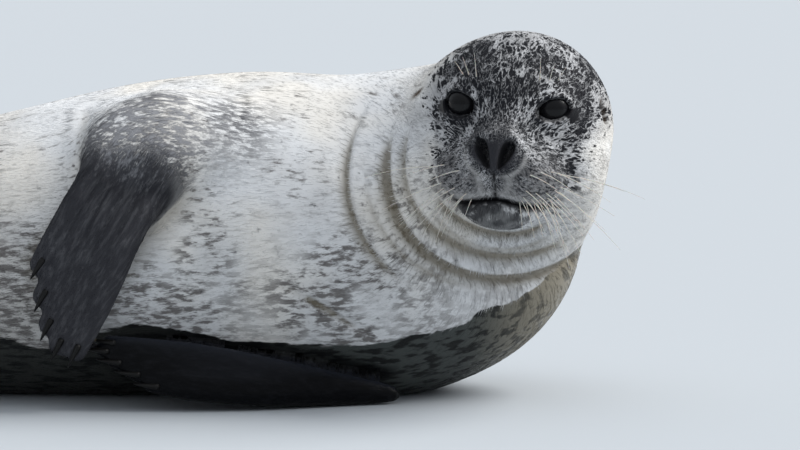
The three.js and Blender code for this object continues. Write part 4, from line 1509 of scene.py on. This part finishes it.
# %% Eyes
PUPIL, IRIS_RIM = (0.002, 0.002, 0.003), (0.002, 0.002, 0.0025)
IRIS_DARK, IRIS_LIGHT = (0.004, 0.004, 0.005), (0.008, 0.008, 0.010)
PUPIL_EDGE, IRIS_EDGE = (0.36, 0.46), (0.85, 1.05)  # radians away from the gaze
for side, name in ((1, "eye_left"), (-1, "eye_right")):
    gaze = GAZE * np.float32([side, 1, 1]) @ HEAD_AXES.T
    centre = from_head(EYE_CENTRE * np.float32([side, 1, 1]))
    ball = bmesh.new()
    bmesh.ops.create_uvsphere(ball, u_segments=48, v_segments=32, radius=EYE_RADIUS * MM)
    upright = Vector((0, 0, 1)).rotation_difference(Vector(gaze.tolist()))
    bmesh.ops.rotate(ball, verts=ball.verts, matrix=upright.to_matrix())
    bmesh.ops.translate(ball, verts=ball.verts, vec=Vector((centre * MM).tolist()))
    mesh = bpy.data.meshes.new(name + "_ball")
    ball.to_mesh(mesh)
    ball.free()
    mesh.shade_smooth()
    away_from_eye = np.array([v.co for v in mesh.vertices]) / MM - centre
    turn = np.arccos(np.clip(away_from_eye @ gaze / EYE_RADIUS, -1, 1))
    keep(mesh, "turn", turn)
    paint = Paint(name)
    radial = paint.number("turn")
    fibres = paint.noise(paint.on_object(), 900, 3, 0.7)
    iris = paint.mix(fibres, IRIS_DARK, IRIS_LIGHT)
    iris = paint.mix(paint.ramp(radial, *PUPIL_EDGE), PUPIL, iris)
    iris = paint.mix(paint.ramp(radial, *IRIS_EDGE), iris, IRIS_RIM)
    paint.set(Base_Color=iris, Roughness=0.26, IOR=1.36, Specular_IOR_Level=0.34)
    paint.set(Coat_Weight=0.16, Coat_Roughness=0.05, Coat_IOR=1.4)
    mesh.materials.append(paint.material)
    eye = link(name + "_ball", mesh)
    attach(eye, "root")
    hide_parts(name)
    print(eye.name, "at", np.round(centre, 1))

# %% [markdown]
# ## Claws
#
# Each digit ends in a strong black claw, long on the foreflippers and small on the hind ones. A
# claw could be a bent cone, but rings of points round a drooping line let it bend, taper and
# flatten at the sides in one step. It is closed at both ends.

# %% The rings of a claw
CLAWS = {"fore": (27, 4.2, 5, 7), "hind": (18, 2.8, 3, 5)}  # length, radius, droop, back
CLAW_LIFT = {1: (0, -1, 0), 2: (0, 0, 1)}  # out of the back of the flipper, by its flat axis
CLAW_AROUND, CLAW_ALONG = 12, 10
CLAW_FLATNESS, ROOT_WAIST = 0.85, 0.25


def claw_rings(flipper, digit, length, radius, droop, back):
    """Points of a claw, ring by ring from its root to its tip."""
    curve = digit_curve(flipper, digit, 60)
    travelled = np.r_[0, np.cumsum(np.sqrt((np.diff(curve, axis=0) ** 2).sum(1)))]
    at = [np.interp(travelled[-1] - back, travelled, curve[:, k]) for k in range(3)]
    lift = np.float32(CLAW_LIFT[flipper["axis"]])
    forward = unit(curve[-1] - curve[-2])
    across = unit(np.cross(forward, lift))
    root = np.array(at) + lift * flipper["radii"][3] / flipper["flat"]
    made = []
    for row in range(CLAW_ALONG + 1):
        s = row / CLAW_ALONG
        middle = root + forward * length * s - lift * droop * s * s
        r = radius * (1 - s) ** 0.6 * (1 - ROOT_WAIST * (row == 0))
        for column in range(CLAW_AROUND):
            angle = math.tau * column / CLAW_AROUND
            sideways = across * math.cos(angle) * CLAW_FLATNESS
            made.append(middle + (sideways + lift * math.sin(angle)) * r)
    return np.array(made)


# %% A mesh from rings
def ringed_mesh(name, tubes, around):
    """One mesh of closed tubes, each given as rings of points; a ring with no width is a tip."""
    mesh_points, faces = [], []
    for tube in tubes:
        rows = len(tube) // around
        first = len(mesh_points)
        mesh_points += tube.tolist()
        for row in range(rows - 1):
            for k in range(around):
                a, b = first + row * around + k, first + row * around + (k + 1) % around
                faces.append((a, b, b + around, a + around))
        faces.append([first + k for k in reversed(range(around))])
        faces.append([first + (rows - 1) * around + k for k in range(around)])
    build = bmesh.new()
    made = [build.verts.new(Vector(p) * MM) for p in mesh_points]
    for face in faces:
        build.faces.new([made[i] for i in face])
    bmesh.ops.remove_doubles(build, verts=build.verts, dist=1e-6)
    bmesh.ops.recalc_face_normals(build, faces=build.faces)
    mesh = bpy.data.meshes.new(name)
    build.to_mesh(mesh)
    build.free()
    mesh.shade_smooth()
    return mesh


# %% Claws
HORN_DARK, HORN_LIGHT = (0.003, 0.003, 0.003), (0.010, 0.009, 0.008)
WORN_HORN = (0.42, 0.36, 0.26)
tubes, claw_nodes = [], []
for name, flipper in FLIPPERS.items():
    for digit in range(DIGITS):
        tubes.append(claw_rings(flipper, digit, *CLAWS[name[:4]]))
        claw_nodes.append(f"{name}_claw_{digit + 1}")
claws = link("claws", ringed_mesh("claws", tubes, CLAW_AROUND))
worn_tip = tubes[claw_nodes.index("foreflipper_left_claw_1")][-1]
claw_points = np.array([v.co for v in claws.data.vertices]) / MM
keep(claws.data, "worn", 1 - ramp(np.sqrt(((claw_points - worn_tip) ** 2).sum(1)), 3, 9))
paint = Paint("claw horn")
grain = paint.noise(paint.on_object(), 600, 3, 0.6)
horn = paint.mix(paint.ramp(grain, 0.35, 0.75), HORN_DARK, HORN_LIGHT)
horn = paint.mix(paint.number("worn"), horn, WORN_HORN)
paint.set(Base_Color=horn, Roughness=0.36, Specular_IOR_Level=0.22)
paint.set(Normal=paint.bump(grain, 0.3, 0.0004))
claws.data.materials.append(paint.material)
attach(claws, "root")
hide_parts(*claw_nodes)
print("claws:", len(claw_nodes))

# %% [markdown]
# ## Whiskers
#
# Seals feel the wake of fish with their whiskers, so these are stout and long for the size of the
# face, in rows on the pads beside the nose, with a few shorter hairs over the eyes. Each could be
# drawn by hand, but they follow a rule: a line leaves the pad outwards and droops. Geometry Nodes
# turn the lines into tapering horn.

# %% Whisker lines
WHISKER_STEPS = 14
WHISKER_ROWS, WHISKER_COLUMNS, BROW_HAIRS = 5, 6, 3
randomly = np.random.default_rng(11)


def rooted(q):
    """The place on the skin that is nearest to a place in head axes."""
    return onto(seal, from_head(np.float32([q])), 8, 12.0)[0]


def whisker_line(root, outward, droop, length):
    """A drooping line from a place on the skin."""
    root = rooted(root)
    outward = unit(np.float32(outward)) @ HEAD_AXES.T
    s = np.linspace(0, 1, WHISKER_STEPS)[:, None]
    sag = np.float32([0, 0, -1]) * droop * length
    return root - 2 * outward + outward * length * s + sag * s * s


lines = []
for side in (1, -1):
    for row in range(WHISKER_ROWS):
        for column in range(WHISKER_COLUMNS - row % 2):
            if side < 0 and (row + column) % 2:  # the right pad shows every second one
                continue
            back = column / (WHISKER_COLUMNS - 1)
            root = (side * (30 + 5.5 * column - 1.5 * row), 118 - 5 * column, -36 - 6.5 * row)
            angle = math.radians(-6 - 15 * row - 6 * (1 - back)) + randomly.normal(0, 0.07)
            outward = (side * math.cos(angle), 0.42 - 0.5 * back, math.sin(angle))
            length = (34 + 44 * back) * (1 - 0.07 * row) * randomly.uniform(0.85, 1.15)
            lines.append(whisker_line(root, outward, 0.10 + 0.12 * randomly.random(), length))
    for k in range(BROW_HAIRS):
        root = (side * (30 + 9 * k), 74 - 6 * k, 52 + 2 * k)
        outward = (side * (0.05 + 0.25 * k), 0.45, 1.0)
        lines.append(whisker_line(root, outward, 0.08, 30 - 5 * k))
print("whisker lines:", len(lines))

# %% Grow the whiskers
WHISKER_THICKNESS, WHISKER_TIP = 0.0010, 0.3  # metres, and the share left at the tip
WHISKER_DARK, WHISKER_PALE = (0.62, 0.57, 0.47), (0.82, 0.80, 0.74)


def whisker_tree():
    grow = Growth("tapering whiskers")
    thick = grow.input("Thickness", "number", 0.0006)
    tip = grow.input("Tip share", "number", 0.25)
    sides = grow.input("Sides", "count", 6)
    material = grow.input("Material", "material")
    along = grow.node("GeometryNodeSplineParameter", {}, "Factor")
    thinned = grow.times(along, grow.maths("SUBTRACT", tip, 1.0))
    inputs = {"Resolution": sides, "Radius": 0.5}
    inputs = {
        "Curve": grow.source.outputs["Geometry"],
        "Profile Curve": grow.node("GeometryNodeCurvePrimitiveCircle", inputs),
        "Scale": grow.times(grow.plus(thinned, 1.0), thick),
        "Fill Caps": True,
    }
    return grow.finish(grow.node("GeometryNodeCurveToMesh", inputs), material)


strings = bpy.data.curves.new("whisker_lines", "CURVE")
strings.dimensions = "3D"
for line in lines:
    spline = strings.splines.new("POLY")
    spline.points.add(len(line) - 1)
    spline.points.foreach_set("co", np.c_[line * MM, np.ones(len(line))].ravel())
line_object = link("whisker_lines", strings)
paint = Paint("whisker")
bands = paint.noise(paint.on_object(), 120, 1)
cream = paint.mix(bands, WHISKER_DARK, WHISKER_PALE)
paint.set(Base_Color=cream, Roughness=0.4, Subsurface_Weight=0.15, Subsurface_Scale=0.0005)
values = {
    "Thickness": WHISKER_THICKNESS,
    "Tip share": WHISKER_TIP,
    "Sides": 6,
    "Material": paint.material,
}
whiskers = grow_piece("whiskers", line_object, whisker_tree(), values)
bpy.data.objects.remove(line_object)
print("whiskers:", len(whiskers.data.polygons), "faces")

# %% [markdown]
# ## Floor, light and camera
#
# The seal lies on a plain pale floor, under a wide soft light from above and behind, as on an
# overcast shore. A long lens from far off keeps its proportions true.

# %% Floor
FLOOR_REACH = 60.0  # metres
FLOOR_GREY = (0.505, 0.54, 0.575)
floor_mesh = bpy.data.meshes.new("floor")
turns = ((-1, -1), (1, -1), (1, 1), (-1, 1))
corners = [(FLOOR_REACH * a, FLOOR_REACH * b, 0) for a, b in turns]
floor_mesh.from_pydata(corners, [], [(0, 1, 2, 3)])
floor = link("floor", floor_mesh)
paint = Paint("floor")
paint.set(Base_Color=FLOOR_GREY, Roughness=0.9)
floor_mesh.materials.append(paint.material)
print("floor:", 2 * FLOOR_REACH, "m across")

# %% Light
SKY, SKY_BELOW, SKY_ABOVE = (0.89, 0.94, 1.0, 1), 0.42, 0.76
SUN_POWER, SUN_SIZE, SUN_COLOUR = 3.2, math.radians(45), (1.0, 0.985, 0.96)
TOWARDS_SUN = Vector((0.85, 0.20, 0.85))
scene = bpy.context.scene
scene.world = bpy.data.worlds.new("overcast")
scene.world.use_nodes = True
sky = Nodes()
sky.tree = scene.world.node_tree
background = sky.tree.nodes["Background"].inputs
background["Color"].default_value = SKY
split = sky.shader("SeparateXYZ", {0: sky.shader("TexCoord", {}, "Generated")}, "Z")
brighter_above = {"Value": split, "To Min": SKY_BELOW, "To Max": SKY_ABOVE}
sky.fill(background["Strength"], sky.shader("MapRange", brighter_above))
sun = bpy.data.lights.new("overcast_sun", "SUN")
sun.energy, sun.angle, sun.color = SUN_POWER, SUN_SIZE, SUN_COLOUR
sun_object = link("overcast_sun", sun)
sun_object.rotation_euler = TOWARDS_SUN.to_track_quat("Z", "Y").to_euler()
print("sun:", SUN_POWER, "and sky:", SKY_BELOW, "to", SKY_ABOVE)

# %% Camera
LOOK_AT = Vector((0.100, -0.170, 0.187))  # metres
CAMERA_DISTANCE = 4.0
CAMERA_TILT = math.radians(5)
LENS, SENSOR = 180, 36  # millimetres
camera_data = bpy.data.cameras.new("camera")
camera_data.lens, camera_data.sensor_width = LENS, SENSOR
camera_data.clip_end = 200
camera = link("camera", camera_data)
towards = Vector((0, math.cos(CAMERA_TILT), -math.sin(CAMERA_TILT)))
camera.location = LOOK_AT - towards * CAMERA_DISTANCE
camera.rotation_euler = towards.to_track_quat("-Z", "Y").to_euler()
scene.camera = camera
scene.view_settings.view_transform = "Standard"
print("camera at", [round(v, 3) for v in camera.location])
